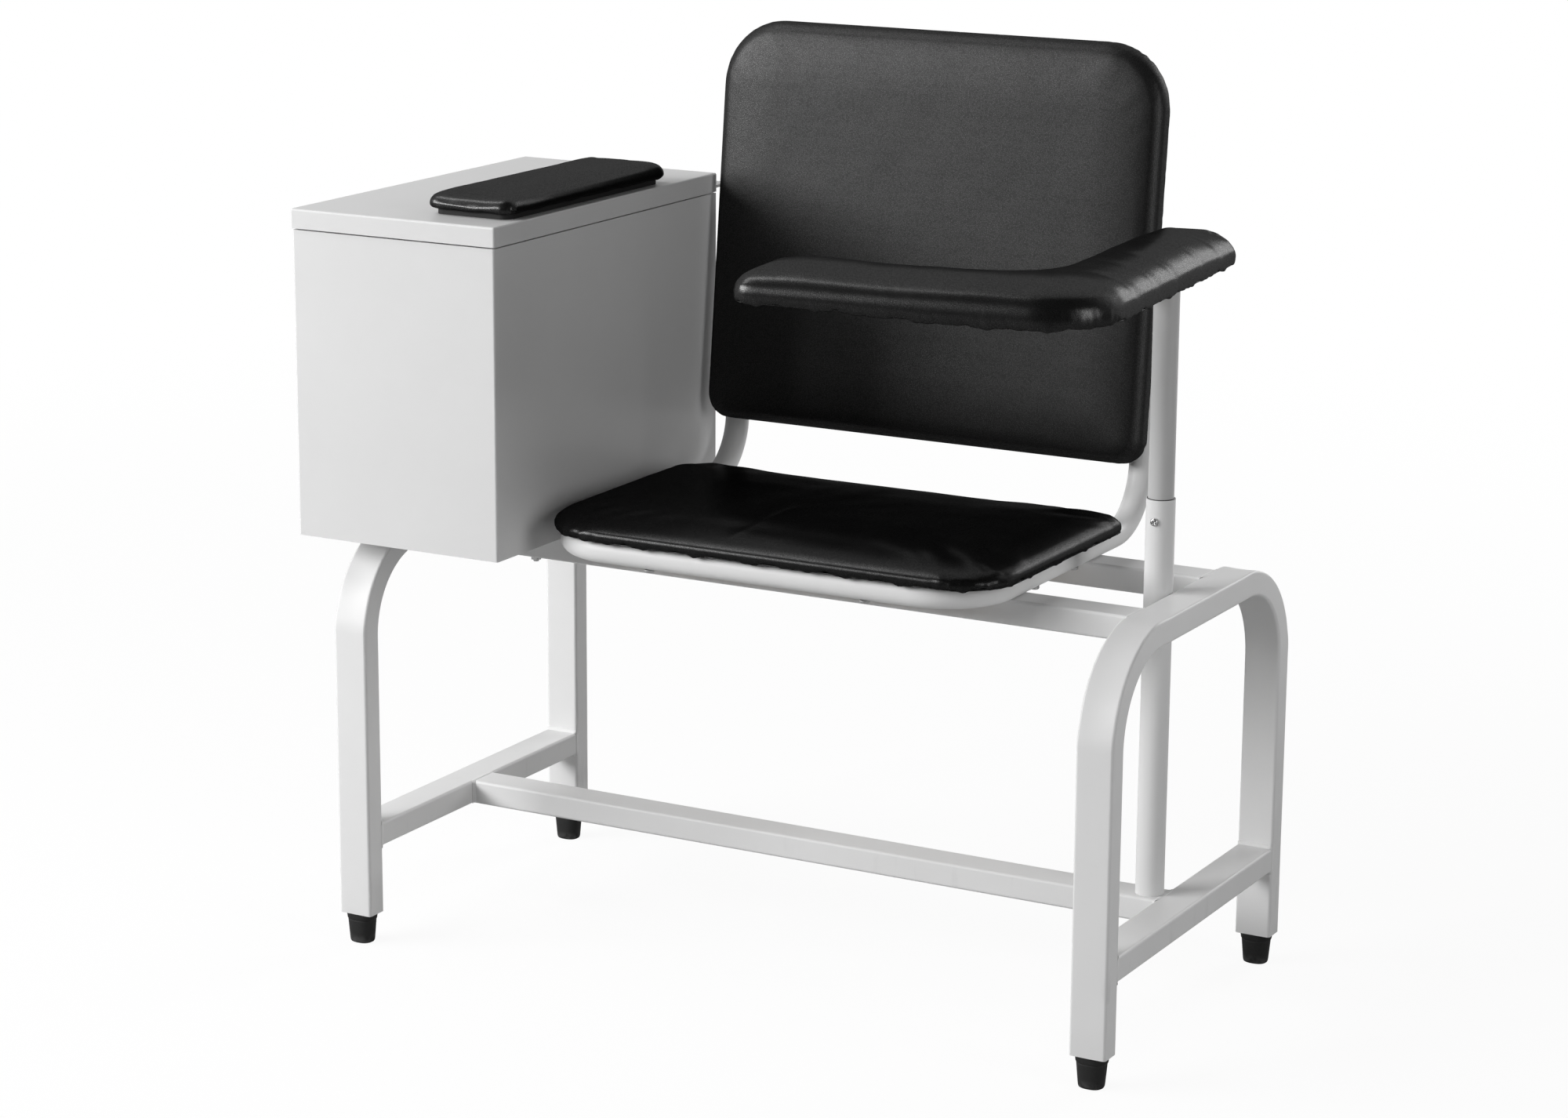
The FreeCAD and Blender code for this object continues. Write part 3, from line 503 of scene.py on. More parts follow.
def side_path(x, side):
    """Centre line from the front's middle round one corner, back, up the rear bend and the upright."""
    middle_x = (tube_left + tube_right) / 2
    corner = x - side * tube_front_bend
    line = [Vector((middle_x + (corner - middle_x) * step / 8, tube_front, tube_height)) for step in range(8)]
    for step in range(25):
        turn = math.pi / 2 * step / 24
        line.append(Vector((
            corner + side * tube_front_bend * math.sin(turn),
            tube_front + tube_front_bend * (1 - math.cos(turn)),
            tube_height,
        )))
    start = line[-1].y
    for step in range(1, 8):
        line.append(Vector((x, start + (bend_start - start) * step / 8, tube_height)))
    for step in range(33):
        turn = rear_sweep * step / 32
        line.append(Vector((
            x,
            bend_start + tube_rear_bend * math.sin(turn),
            tube_height + tube_rear_bend * (1 - math.cos(turn)),
        )))
    up = Vector((0, math.sin(back_lean), math.cos(back_lean)))
    foot_of_upright = line[-1]
    for step in range(1, 13):
        line.append(foot_of_upright + up * upright_length * step / 12)
    return line


def round_body(line, radius, steps):
    """Points and faces of a round tube or wire along a line of points, closed at both ends."""
    points = []
    side = None
    for index, here in enumerate(line):
        before = line[max(index - 1, 0)]
        after = line[min(index + 1, len(line) - 1)]
        way = (after - before).normalized()
        if side is None:
            side = way.orthogonal().normalized()
        side = (side - way * side.dot(way)).normalized()
        other = way.cross(side)
        for step in range(steps):
            turn = 2 * math.pi * step / steps
            points.append(here + side * radius * math.cos(turn) + other * radius * math.sin(turn))
    return points, ring_faces(len(line), steps) + end_faces(len(line), steps)


right_line = side_path(tube_right, 1)
left_line = side_path(tube_left, -1)
tube_points, tube_faces = round_body(left_line[:0:-1] + right_line, tube_radius, 48)
seat_tube = mesh_object("seat_back_tube_painted", tube_points, tube_faces, frame_paint)
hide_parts("seat_back_tube")
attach(seat_tube, "frame")

# Caps in the open ends of the uprights: moulded black plastic with a low dome and a thin rim.
cap_plastic, cap_shader, place = finish("cap_plastic", {"Specular IOR Level": 0.5})
grain = place.noise(1500.0, 2.0)
connect(
    cap_shader,
    Base_Color=place.noise(80.0).blend(grey(0.020), grey(0.028)),
    Roughness=0.42 + grain * 0.15,
    Normal=grain.bump(0.00008, 0.5),
)
cap_rim = 0.0012
cap_dome = 0.0013
cap_steps = 40
for name, x in (("left_upright_cap", tube_left), ("right_upright_cap", tube_right)):
    top = Vector((x, upright_top, bend_end_height + upright_length * math.cos(back_lean)))
    up = Vector((0, math.sin(back_lean), math.cos(back_lean)))
    fore = Vector((0, math.cos(back_lean), -math.sin(back_lean)))
    points = []
    profile = [(0.0109, -0.013), (0.0112, -0.0002), (tube_radius - 0.0002, 0.0), (tube_radius, 0.0004)]
    profile += [(tube_radius, cap_rim), (tube_radius - 0.0004, cap_rim + 0.0003)]
    for step in range(1, 9):
        share = step / 8
        dome_now = cap_rim + cap_dome * math.sin(share * math.pi / 2)
        profile.append(((tube_radius - 0.0006) * (1 - share) + 0.0001, dome_now))
    for radius, rise in profile:
        for step in range(cap_steps):
            turn = 2 * math.pi * step / cap_steps
            across = Vector((radius * math.cos(turn), 0, 0))
            points.append(top + across + fore * radius * math.sin(turn) + up * rise)
    faces = ring_faces(len(profile), cap_steps) + end_faces(len(profile), cap_steps, flip=True)
    cap = mesh_object(name + "_moulded", points, faces, cap_plastic)
    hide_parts(name)
    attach(cap, "frame")

# Arm post: a fixed outer tube stands on the stretcher and is welded to the hoop's rail. A thinner tube slides
# in it. The fixed tube has the frame's paint, with its cut end left as a sharp rim; the sliding tube has a
# darker copy of that paint, a painted shade for the shadow the arm casts on it.
paint_node("arm_post_tube", frame_paint)
# Darker copy of the frame paint on the sliding tube: painted shade for the arm's shadow.
mast_painted_shade_paint = gloss_paint("mast_shaded_gloss_paint", 0.50, 0.02)
paint_node("arm_inner_tube", mast_painted_shade_paint)

# Painted shadow at the mouth of the fixed tube: a thin ring of black plastic laid on the cut end round the
# mast, standing in for the dark shadow line where the mast goes in.
post_low, post_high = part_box("arm_post_tube")
post_axis = Vector(((post_low.x + post_high.x) / 2, (post_low.y + post_high.y) / 2, 0))
mast_low, mast_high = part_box("arm_inner_tube")
shadow_ring_thickness = 0.0004
shadow_ring_radius = (mast_high.x - mast_low.x) / 2 + shadow_ring_thickness + 0.00005
shadow_ring_place = post_axis + Vector((0, 0, post_high.z + shadow_ring_thickness))
shadow_ring_steps = 72
shadow_ring_sides = 8
shadow_ring_points = []
for step in range(shadow_ring_steps):
    turn = 2 * math.pi * step / shadow_ring_steps
    outward = Vector((math.cos(turn), math.sin(turn), 0))
    for corner in range(shadow_ring_sides):
        lean = 2 * math.pi * corner / shadow_ring_sides
        reach = shadow_ring_radius + math.cos(lean) * shadow_ring_thickness
        shadow_ring_points.append(shadow_ring_place + outward * reach + Vector((0, 0, math.sin(lean) * shadow_ring_thickness)))
shadow_ring = mesh_object("arm_post_painted_shadow_ring", shadow_ring_points, ring_faces(shadow_ring_steps, shadow_ring_sides, closed=True), cap_plastic)
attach(shadow_ring, "frame")

# Clamp screw: a bright zinc-plated pan head with a cross recess that holds the mast at its height.
zinc, zinc_shader, place = finish("zinc_plate", {"Metallic": 1.0})
mottle = place.noise(300.0, 3.0)
connect(
    zinc_shader,
    Base_Color=mottle.blend(grey(0.46), grey(0.62)),
    Roughness=0.24 + mottle * 0.16,
    Normal=place.noise(2500.0).bump(0.00003, 0.5),
)


def screw_head(radius, rise):
    """Pan head about the origin, facing +Z, with a cross recess cut into it."""
    head = bmesh.new()
    rings = 14
    steps = 48
    grid = []
    for ring in range(rings + 1):
        share = ring / rings
        row = []
        for step in range(steps):
            turn = 2 * math.pi * step / steps
            reach = radius * share
            height_now = rise * (1 - share ** 4) ** 0.5
            x, y = reach * math.cos(turn), reach * math.sin(turn)
            slot_width = radius * 0.13 * (1 - 0.3 * share)
            if min(abs(x), abs(y)) < slot_width and max(abs(x), abs(y)) < radius * 0.55:
                height_now -= rise * 0.55 * (1 - max(abs(x), abs(y)) / (radius * 0.7))
            row.append(head.verts.new((x, y, height_now)))
        grid.append(row)
    grid.append([head.verts.new((v.co.x, v.co.y, -0.0002)) for v in grid[-1]])
    for ring in range(len(grid) - 1):
        for step in range(steps):
            after = (step + 1) % steps
            head.faces.new((grid[ring][step], grid[ring + 1][step], grid[ring + 1][after], grid[ring][after]))
    bmesh.ops.remove_doubles(head, verts=head.verts, dist=0.000001)
    bmesh.ops.holes_fill(head, edges=[edge for edge in head.edges if edge.is_boundary], sides=100)
    bmesh.ops.recalc_face_normals(head, faces=head.faces)
    head.verts.index_update()
    points = [vertex.co.copy() for vertex in head.verts]
    faces = [tuple(vertex.index for vertex in face.verts) for face in head.faces]
    head.free()
    return points, faces


screw_low, screw_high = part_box("arm_clamp_screw")
screw_centre = (screw_low + screw_high) / 2
clamp_head_radius = (screw_high.x - screw_low.x) / 2
clamp_head_height = 0.003
clamp_place = Vector((screw_centre.x, screw_low.y + clamp_head_height, screw_centre.z))
clamp_recess_turn = 0.7
clamp_facing = Vector((0, 0, 1)).rotation_difference(Vector((0, -1, 0))).to_matrix()
clamp_facing = clamp_facing @ Matrix.Rotation(clamp_recess_turn, 3, "Z")
head_points, head_faces = screw_head(clamp_head_radius, clamp_head_height)
head_points = [clamp_place + clamp_facing @ point for point in head_points]
clamp_head = joined("arm_clamp_screw_head", [(head_points, head_faces)], zinc)
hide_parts("arm_clamp_screw")
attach(clamp_head, "clamp_screw")


# Black upholstery vinyl: a knitted backing under a soft skin that is embossed with a fine leather
# grain. It shines where it is drawn tight over an edge and is duller where it lies loose.
def vinyl(name, grain_depth, gloss, shine, unevenness=0.15):
    """Black vinyl: a dull black body, with a share of bright skin on top that gives it its sheen."""
    made, shader, place = finish(name, {"Specular IOR Level": 0.0})
    warp = place.noise(160.0, 2.0)
    cells = place.node(
        "TexVoronoi", {"feature": "DISTANCE_TO_EDGE"}, {"Vector": place, "Scale": 620.0, "Randomness": 1.0}
    )
    pebble = cells.above(0.16, 0.30)
    fine = place.noise(2600.0, 3.0, 0.6)
    cloud = place.noise(11.0, 3.0)
    patch = place.noise(46.0, 3.0)
    uneven = patch.bump(0.0012, unevenness)
    normal = (pebble * 0.7 + fine * 0.5 + warp * 0.4).bump(grain_depth, 0.6, below=uneven)
    connect(
        shader,
        Base_Color=(cloud * 0.3 + pebble * 0.7).blend(grey(0.0010), grey(0.0032)),
        Roughness=gloss + cloud * 0.06 + patch * 0.05,
        Normal=normal,
    )
    skin = place.node(
        "BsdfPrincipled", {}, {
            "Base Color": grey(0.9), "Metallic": 1.0, "Normal": normal,
            "Roughness": gloss + cloud * 0.06 + patch * 0.05 - pebble * 0.04,
        }
    )
    mixed = place.node("MixShader", {}, {0: shine * (0.68 + pebble * 0.50 + cloud * 0.10), 2: skin})
    tree = made.node_tree
    tree.links.new(shader.outputs[0], mixed.socket.node.inputs[1])
    tree.links.new(mixed.socket, tree.nodes["Material Output"].inputs["Surface"])
    return made


seat_vinyl = vinyl("seat_vinyl", 0.000030, 0.24, 0.026)


def outline_points(corners, radii, spacing):
    """Closed outline with rounded corners, as evenly spread 2-D points, anticlockwise."""
    dense = []
    count = len(corners)
    for index in range(count):
        here = Vector(corners[index])
        back = (Vector(corners[index - 1]) - here).normalized()
        ahead = (Vector(corners[(index + 1) % count]) - here).normalized()
        half = back.angle(ahead) / 2
        reach = radii[index] / math.tan(half)
        centre = here + (back + ahead).normalized() * (radii[index] / math.sin(half))
        start = here + back * reach - centre
        finish_at = here + ahead * reach - centre
        sweep = start.angle_signed(finish_at)
        steps = max(4, int(abs(sweep) * radii[index] / spacing))
        for step in range(steps + 1):
            turn = -sweep * step / steps
            cos, sin = math.cos(turn), math.sin(turn)
            dense.append(centre + Vector((start.x * cos - start.y * sin, start.x * sin + start.y * cos)))
    dense.append(dense[0])
    lengths = [0.0]
    for first, second in zip(dense, dense[1:]):
        lengths.append(lengths[-1] + (second - first).length)
    wanted = int(lengths[-1] / spacing)
    points = []
    walk = 0
    for step in range(wanted):
        target = lengths[-1] * step / wanted
        while lengths[walk + 1] < target:
            walk += 1
        gap = lengths[walk + 1] - lengths[walk]
        share = (target - lengths[walk]) / gap if gap > 0 else 0
        points.append(dense[walk].lerp(dense[walk + 1], share))
    return points


def inset_corners(corners, inset):
    """Corners of a right-angled outline drawn in by the inset."""
    drawn = []
    count = len(corners)
    for index in range(count):
        here = Vector(corners[index])
        back = (Vector(corners[index - 1]) - here).normalized()
        ahead = (Vector(corners[(index + 1) % count]) - here).normalized()
        inward = back + ahead
        if ahead.cross(back) < 0:
            inward = -inward
        drawn.append(tuple(here + inward * inset))
    return drawn


def eased_radii(corners, radii, inset):
    """Corner radii once the outline has been drawn in: outer corners tighten and hollow ones open."""
    eased = []
    for index, radius in enumerate(radii):
        here = Vector(corners[index])
        back = Vector(corners[index - 1]) - here
        ahead = Vector(corners[(index + 1) % len(corners)]) - here
        hollow = ahead.cross(back) < 0
        eased.append(radius + inset * 0.6 if hollow else radius * radius / (radius + inset * 0.6))
    return eased


def drawn_ring(corners, radii, inset, count):
    """Outline drawn in by the inset, as a number of 2-D points spread evenly along it."""
    ring = outline_points(inset_corners(corners, inset), eased_radii(corners, radii, inset), 0.0015)
    return [ring[int(step * len(ring) / count)] for step in range(count)]


def stuffed_form(name, corners, radii, levels, material):
    """Closed pad from its outline: each level is a height above the board's foot and a draw-in."""
    made = bmesh.new()
    loops = []
    count = 360
    for rise, inset in levels:
        ring = drawn_ring(corners, radii, inset, count)
        loops.append([made.verts.new((point.x, point.y, rise)) for point in ring])
    for first, second in zip(loops, loops[1:]):
        for step in range(count):
            after = (step + 1) % count
            made.faces.new((first[step], first[after], second[after], second[step]))
    made.faces.new(loops[0][::-1])
    made.faces.new(loops[-1])
    bmesh.ops.triangulate(made, faces=made.faces)
    mesh = bpy.data.meshes.new(name)
    made.to_mesh(mesh)
    made.free()
    piece = bpy.data.objects.new(name, mesh)
    bpy.context.scene.collection.objects.link(piece)
    mesh.materials.append(material)
    return piece


def applied(piece):
    """Applies every modifier of a piece to its mesh."""
    graph = bpy.context.evaluated_depsgraph_get()
    mesh = bpy.data.meshes.new_from_object(piece.evaluated_get(graph))
    piece.modifiers.clear()
    piece.data = mesh
    return piece


def read_points(piece):
    """The points of a piece's mesh as rows of three numbers."""
    points = np.zeros(len(piece.data.vertices) * 3)
    piece.data.vertices.foreach_get("co", points)
    return points.reshape(-1, 3)


def write_points(piece, points):
    """Moves the points of a piece's mesh to the rows of three numbers."""
    piece.data.vertices.foreach_set("co", points.reshape(-1))
    piece.data.update()


def remeshed(piece, size):
    """Even small quads all over a closed form."""
    voxels = piece.modifiers.new("voxels", "REMESH")
    voxels.mode = "VOXEL"
    voxels.voxel_size = size
    return applied(piece)


def along_outline(points, outline):
    """For each point: how far round the outline it is, how far from it, and the outward direction."""
    ring = np.array([tuple(p) for p in outline])
    ahead = np.roll(ring, -1, axis=0) - ring
    length = np.maximum(np.linalg.norm(ahead, axis=1), 1e-9)
    start = np.concatenate([[0.0], np.cumsum(length)[:-1]])
    way = ahead / length[:, None]
    best = np.full(len(points), 1e9)
    round_by = np.zeros(len(points))
    outward = np.zeros((len(points), 2))
    for index in range(len(ring)):
        offset = points[:, :2] - ring[index]
        share = np.clip(offset @ way[index], 0, length[index])
        nearest = offset - share[:, None] * way[index]
        distance = np.linalg.norm(nearest, axis=1)
        better = distance < best
        best[better] = distance[better]
        round_by[better] = start[index] + share[better]
        outward[better] = (way[index][1], -way[index][0])
    return round_by, best, outward


def crowned(piece, outline, edge_top, crown, reach):
    """Raises the top of a pad so that it is full at the given reach, or reaches, from its edge."""
    points = read_points(piece)
    inside, outward = along_outline(points, outline)[1:]
    share = np.clip(inside / (reach(points, outward) if callable(reach) else reach), 0, 1)
    top = np.clip((points[:, 2] / edge_top - 0.35) / 0.55, 0, 1)
    points[:, 2] += crown * (1 - (1 - share) ** 2) * top
    write_points(piece, points)


def blown_up(piece, outline, held_below, cap, pressure=4.0):
    """Inflates a pad as cloth, with the part below a height held on its board, and caps the movement."""
    rest = read_points(piece)
    held = piece.vertex_groups.new(name="held")
    held.add([int(i) for i in np.nonzero(rest[:, 2] < held_below)[0]], 1.0, "REPLACE")
    cloth = piece.modifiers.new("cloth", "CLOTH")
    cloth.settings.use_pressure = True
    cloth.settings.uniform_pressure_force = pressure
    cloth.settings.effector_weights.gravity = 0.0
    cloth.settings.vertex_group_mass = "held"
    cloth.settings.quality = 4
    cloth.settings.tension_stiffness = 25
    cloth.settings.compression_stiffness = 25
    cloth.settings.bending_stiffness = 0.8
    cloth.collision_settings.use_collision = False
    cloth.point_cache.frame_start = 1
    cloth.point_cache.frame_end = 20
    for number in range(1, 21):
        bpy.context.scene.frame_set(number)
    applied(piece)
    bpy.context.scene.frame_set(1)
    step = read_points(piece) - rest
    inside, outward = along_outline(rest, outline)[1:]
    pull = np.minimum((step[:, :2] * outward).sum(axis=1), 0) * np.clip(1.6 - inside / 0.020, 0, 1)
    step[:, :2] -= outward * pull[:, None]
    length = np.linalg.norm(step, axis=1, keepdims=True)
    step *= np.tanh(length / cap) * cap / np.maximum(length, 1e-9)
    write_points(piece, rest + step)
    piece.vertex_groups.clear()
    return piece


def settled(piece, height, softness, seed):
    """Subdivides a pad, brings its crown to its height and gives the foam its slight unevenness."""
    finer = piece.modifiers.new("finer", "SUBSURF")
    finer.levels = 1
    finer.render_levels = 1
    applied(piece)
    points = read_points(piece)
    above = points[:, 2] > 0
    points[above, 2] *= height / points[:, 2].max()
    top = np.clip(points[:, 2] / height * 2 - 0.8, 0, 1)
    shift = Vector((seed, 0.0, 0.0))
    cloud = np.array([
        noise.noise(Vector(p) * 13.0 + shift) + 0.4 * noise.noise(Vector(p) * 34.0 + shift) for p in points
    ])
    points[:, 2] += softness * cloud * top
    write_points(piece, points)
    piece.data.shade_smooth()
    return piece


def pleat_places(outline, straight_gap, corner_gap, seed):
    """Where the cover is pleated: close together round the corners, and here and there between them."""
    source = np.random.default_rng(seed)
    ring = np.array([tuple(p) for p in outline])
    ahead = np.roll(ring, -1, axis=0) - ring
    length = np.linalg.norm(ahead, axis=1)
    start = np.concatenate([[0.0], np.cumsum(length)])
    heading = np.unwrap(np.arctan2(ahead[:, 1], ahead[:, 0]))
    bend = np.abs(np.roll(heading, -3) - np.roll(heading, 3))
    bend[:3] = bend[3]
    bend[-3:] = bend[-4]
    places = []
    walk = 0.006
    while walk < start[-1] - 0.006:
        index = min(int(np.searchsorted(start, walk)) - 1, len(bend) - 1)
        corner = bend[index] > 0.10
        depth = source.uniform(0.55, 1.0) if corner else source.uniform(0.15, 0.5)
        places.append((walk, depth, source.uniform(0.6, 1.0) if corner else source.uniform(0.3, 0.7)))
        gap = corner_gap if corner else straight_gap
        walk += gap * source.uniform(0.6, 1.5)
    return places, start[-1]


def pleated(piece, outline, wall, depth, places, length, width, hem_sag=0.0006):
    """Small folds that run up from the lower edge, where the cover is pulled under and stapled."""
    points = read_points(piece)
    round_by, inside, outward = along_outline(points, outline)
    near = np.exp(-((inside / (wall * 0.8)) ** 2))
    for place_now, share, rise in places:
        gap = np.abs(round_by - place_now)
        gap = np.minimum(gap, length - gap)
        line = np.exp(-((gap / width) ** 2)) - 0.35 * np.exp(-((gap / (width * 2.4)) ** 2))
        up = np.clip(1 - points[:, 2] / (wall * rise * 1.6), 0, 1)
        points[:, :2] -= outward * (depth * share * line * up * near)[:, None]
    sag = np.zeros(len(points))
    source = np.random.default_rng(len(places))
    for wave, weight in ((0.055, 0.45), (0.032, 0.35), (0.014, 0.2)):
        turns = max(int(length / wave), 1)
        sag += weight * np.sin(2 * np.pi * turns * round_by / length + source.uniform(0, 6.28))
    low = np.clip(1 - points[:, 2] / (wall * 0.45), 0, 1) * near
    points[:, 2] -= low * (hem_sag * sag * (1 + 0.8 * np.abs(sag)) + hem_sag * 0.5)
    write_points(piece, points)
    return piece


def turned_hem(name, corners, radii, low, width, body, material):
    """Strip of the cover turned under the board: cut by eye along its free edge, with a row of staples."""
    source = np.random.default_rng(len(name))
    spacing = 0.002
    count = len(outline_points(corners, radii, spacing))
    section = (
        (0.0022, -0.0001), (0.0030, -0.0008), (0.3, -0.0011), (0.65, -0.0010), (1.0, -0.0010),
        (1.01, -0.0005), (1.0, -0.0002), (0.5, -0.0001),
    )
    phases = source.uniform(0, 6.28, 6)
    rings = []
    for place_now, height_now in section:
        inset = place_now if place_now < 0.01 else width * place_now
        rings.append((place_now, height_now, drawn_ring(corners, radii, inset, count)))
    points = []
    for step in range(count):
        turn = 2 * math.pi * step / count
        ripple = math.sin(turn * 31 + phases[0]) * 0.5 + math.sin(turn * 53 + phases[1]) * 0.3
        edge = math.sin(turn * 7 + phases[2]) * 0.5 + math.sin(turn * 23 + phases[3]) * 0.3
        edge += math.sin(turn * 61 + phases[4]) * 0.2
        outer = rings[0][2][step]
        for place_now, height_now, ring in rings:
            point = ring[step]
            if place_now > 0.9:
                point = point.lerp(outer, 0.10 + 0.07 * edge)
            drop = 0.0004 * ripple * min(place_now * 1.5, 1.0) if height_now < -0.0006 else 0.0
            points.append((point.x, point.y, low + height_now + drop))
    faces = ring_faces(count, len(section), closed=True, flip=True)
    hem = faced_outward(mesh_object(name + "_hem", points, faces, material))
    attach(hem, body)
    inner = drawn_ring(corners, radii, width * 0.62, count)
    staples = []
    gap = int(0.026 / spacing)
    for step in range(gap // 2, count - 6, gap):
        shift = int(source.integers(-3, 4))
        first = inner[(step + shift) % count]
        second = inner[(step + shift + 5) % count]
        tilt = Vector((source.uniform(-0.0012, 0.0012), source.uniform(-0.0012, 0.0012)))
        leg = second + tilt
        ends = ((first, low), (first, low - 0.0016), (leg, low - 0.0016), (leg, low))
        staples.append(round_body([Vector((end.x, end.y, height)) for end, height in ends], 0.00038, 6))
    wires = joined(name + "_staples", staples, zinc)
    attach(wires, body)
    return hem, wires


def box_corners(low, high):
    """Corners of an upright rectangle, anticlockwise from the front left."""
    return [(low.x, low.y), (high.x, low.y), (high.x, high.y), (low.x, high.y)]


# Seat: foam on a plywood board, covered in vinyl that is pulled under the board's edge and stapled.
# The front edge rolls over early, and the middle of the pad is the highest.
seat_low, seat_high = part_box("seat_cushion")
seat_corners = box_corners(seat_low, seat_high)
seat_radii = [0.080, 0.060, 0.018, 0.036]
seat_height = seat_high.z - seat_low.z
seat_edge_top = 0.0185
seat_levels = [
    (0.0040, 0.0175), (-0.0016, 0.0145), (-0.0016, 0.0032), (0.0, 0.0012), (0.0040, 0.0004), (0.0078, 0.0010),
    (0.0112, 0.0034), (0.0142, 0.0082), (0.0165, 0.0150), (0.0180, 0.0240), (seat_edge_top, 0.0340),
]
seat_outline = outline_points(seat_corners, seat_radii, 0.004)
seat_pad = stuffed_form("seat_cushion_vinyl", seat_corners, seat_radii, seat_levels, seat_vinyl)
remeshed(seat_pad, 0.005)
crowned(seat_pad, seat_outline, seat_edge_top, 0.006, 0.120)
blown_up(seat_pad, seat_outline, 0.003, 0.0022)
settled(seat_pad, seat_height, 0.0009, 3.0)
seat_pleats, seat_length = pleat_places(seat_outline, 0.060, 0.014, 3)
pleated(seat_pad, seat_outline, 0.010, 0.0007, seat_pleats, seat_length, 0.0036, 0.0016)


def creased(piece, start, end, depth, width):
    """One soft fold left in a cover where it was creased in its packing."""
    points = read_points(piece)
    first = np.array(start)
    run = np.array(end) - first
    length = np.linalg.norm(run)
    way = run / length
    offset = points[:, :2] - first
    along = offset @ way
    across = offset @ np.array([-way[1], way[0]]) + 0.004 * np.sin(along / length * 5.0)
    ends = np.clip(along / (length * 0.25), 0, 1) * np.clip((length - along) / (length * 0.35), 0, 1)
    fold = np.exp(-((across / width) ** 2)) - 0.7 * np.exp(-(((across - 2.2 * width) / (2 * width)) ** 2))
    points[:, 2] += depth * fold * ends * (points[:, 2] > 0.012)
    write_points(piece, points)


creased(seat_pad, (middle.x + 0.006, middle.y - 0.180), (middle.x + 0.030, middle.y - 0.060), 0.0011, 0.0050)
seat_pad.data.transform(Matrix.Translation((0, 0, seat_low.z)))
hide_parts("seat_cushion")
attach(seat_pad, "frame")
hem_width = 0.022
turned_hem("seat_cover", seat_corners, seat_radii, seat_low.z - 0.0003, hem_width, "frame", seat_vinyl)

plywood, ply_shader, place = finish("birch_plywood", {"Specular IOR Level": 0.3})
ply_grain = place.node("Mapping", {}, {"Vector": place, "Scale": (6.0, 60.0, 60.0)}).noise(3.0, 5.0, 0.65)
fibre = place.node("Mapping", {}, {"Vector": place, "Scale": (40.0, 900.0, 900.0)}).noise(1.0, 3.0, 0.6)
connect(
    ply_shader,
    Base_Color=(ply_grain * 0.8 + fibre * 0.3).blend((0.42, 0.29, 0.17, 1.0), (0.62, 0.48, 0.32, 1.0)),
    Roughness=0.68 + fibre * 0.15,
    Normal=fibre.bump(0.0002, 0.5),
)
for board in ("seat_board", "back_board", "arm_board"):
    paint_node(board, plywood)
for node in ("seat_screws", "back_screws", "arm_screws", "lid_pad_screws"):
    paint_node(node, zinc)

# Back: the same make as the seat, with large upper corners, leaning back on the two uprights.
back_vinyl = vinyl("back_vinyl", 0.000075, 0.42, 0.036, 0.04)
back_turn = Matrix.Rotation(-back_lean, 4, "X")
back_foot = Vector((0, bend_end, bend_end_height))
back_left_overhang = 0.0200
back_right_overhang = 0.0135
back_height = 0.426
back_low_edge = 0.002
back_thickness = 0.0325
back_rear = tube_radius + 0.0002 + 0.0012 + 0.0003
back_corners = box_corners(
    Vector((tube_left - back_left_overhang, back_low_edge)),
    Vector((tube_right + back_right_overhang, back_low_edge + back_height)),
)
back_radii = [0.025, 0.025, 0.068, 0.068]
back_edge_top = 0.0257
back_levels = [
    (0.0030, 0.0165), (-0.0008, 0.0135), (-0.0008, 0.0032), (0.0008, 0.0014), (0.0060, 0.0006),
    (0.0145, 0.0006), (0.0192, 0.0020), (0.0226, 0.0048), (0.0248, 0.0094), (back_edge_top, 0.0155),
]
back_outline = outline_points(back_corners, back_radii, 0.004)
back_pad = stuffed_form("back_cushion_vinyl", back_corners, back_radii, back_levels, back_vinyl)
remeshed(back_pad, 0.005)
crowned(back_pad, back_outline, back_edge_top, 0.005, 0.070)
blown_up(back_pad, back_outline, 0.003, 0.0003)
settled(back_pad, back_thickness, 0.0003, 9.0)
back_pleats, back_length = pleat_places(back_outline, 0.045, 0.013, 12)
pleated(back_pad, back_outline, 0.014, 0.0011, back_pleats, back_length, 0.0030)
on_uprights = Matrix.Translation(back_foot) @ back_turn @ Matrix.Translation((0, -back_rear, 0))
back_pad.data.transform(on_uprights @ Matrix.Rotation(math.pi / 2, 4, "X"))
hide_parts("back_cushion")
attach(back_pad, "frame")

lining, lining_shader, place = finish("spun_lining", {"Specular IOR Level": 0.2})
felt = place.noise(800.0, 4.0, 0.7)
connect(
    lining_shader,
    Base_Color=felt.blend(grey(0.012), grey(0.035)),
    Roughness=0.8 + felt * 0.15,
    Normal=felt.bump(0.0003, 0.6),
)
paint_node("back_lining", lining)

# Padded arm: an L cut from plywood, foam and vinyl, on a flat steel strap that turns on the mast. It is
# stuffed like a roll, fullest along the middle of each limb and a little slack half way along the lap.
arm_vinyl = vinyl("arm_vinyl", 0.000028, 0.25, 0.043)
arm_low, arm_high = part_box("arm_cushion")
arm_rest_turn = math.radians(5.5)
arm_reach_left = 0.330
arm_reach_right = 0.034
arm_reach_front = 0.292
arm_reach_rear = 0.130
arm_limb_width = 0.088
arm_corners = [
    (-arm_reach_left, -arm_reach_front),
    (arm_reach_right, -arm_reach_front),
    (arm_reach_right, arm_reach_rear),
    (arm_reach_right - arm_limb_width, arm_reach_rear),
    (arm_reach_right - arm_limb_width, -arm_reach_front + arm_limb_width),
    (-arm_reach_left, -arm_reach_front + arm_limb_width),
]
arm_radii = [0.022, 0.070, 0.022, 0.022, 0.060, 0.022]
arm_height = arm_high.z - arm_low.z
arm_edge_top = 0.0215
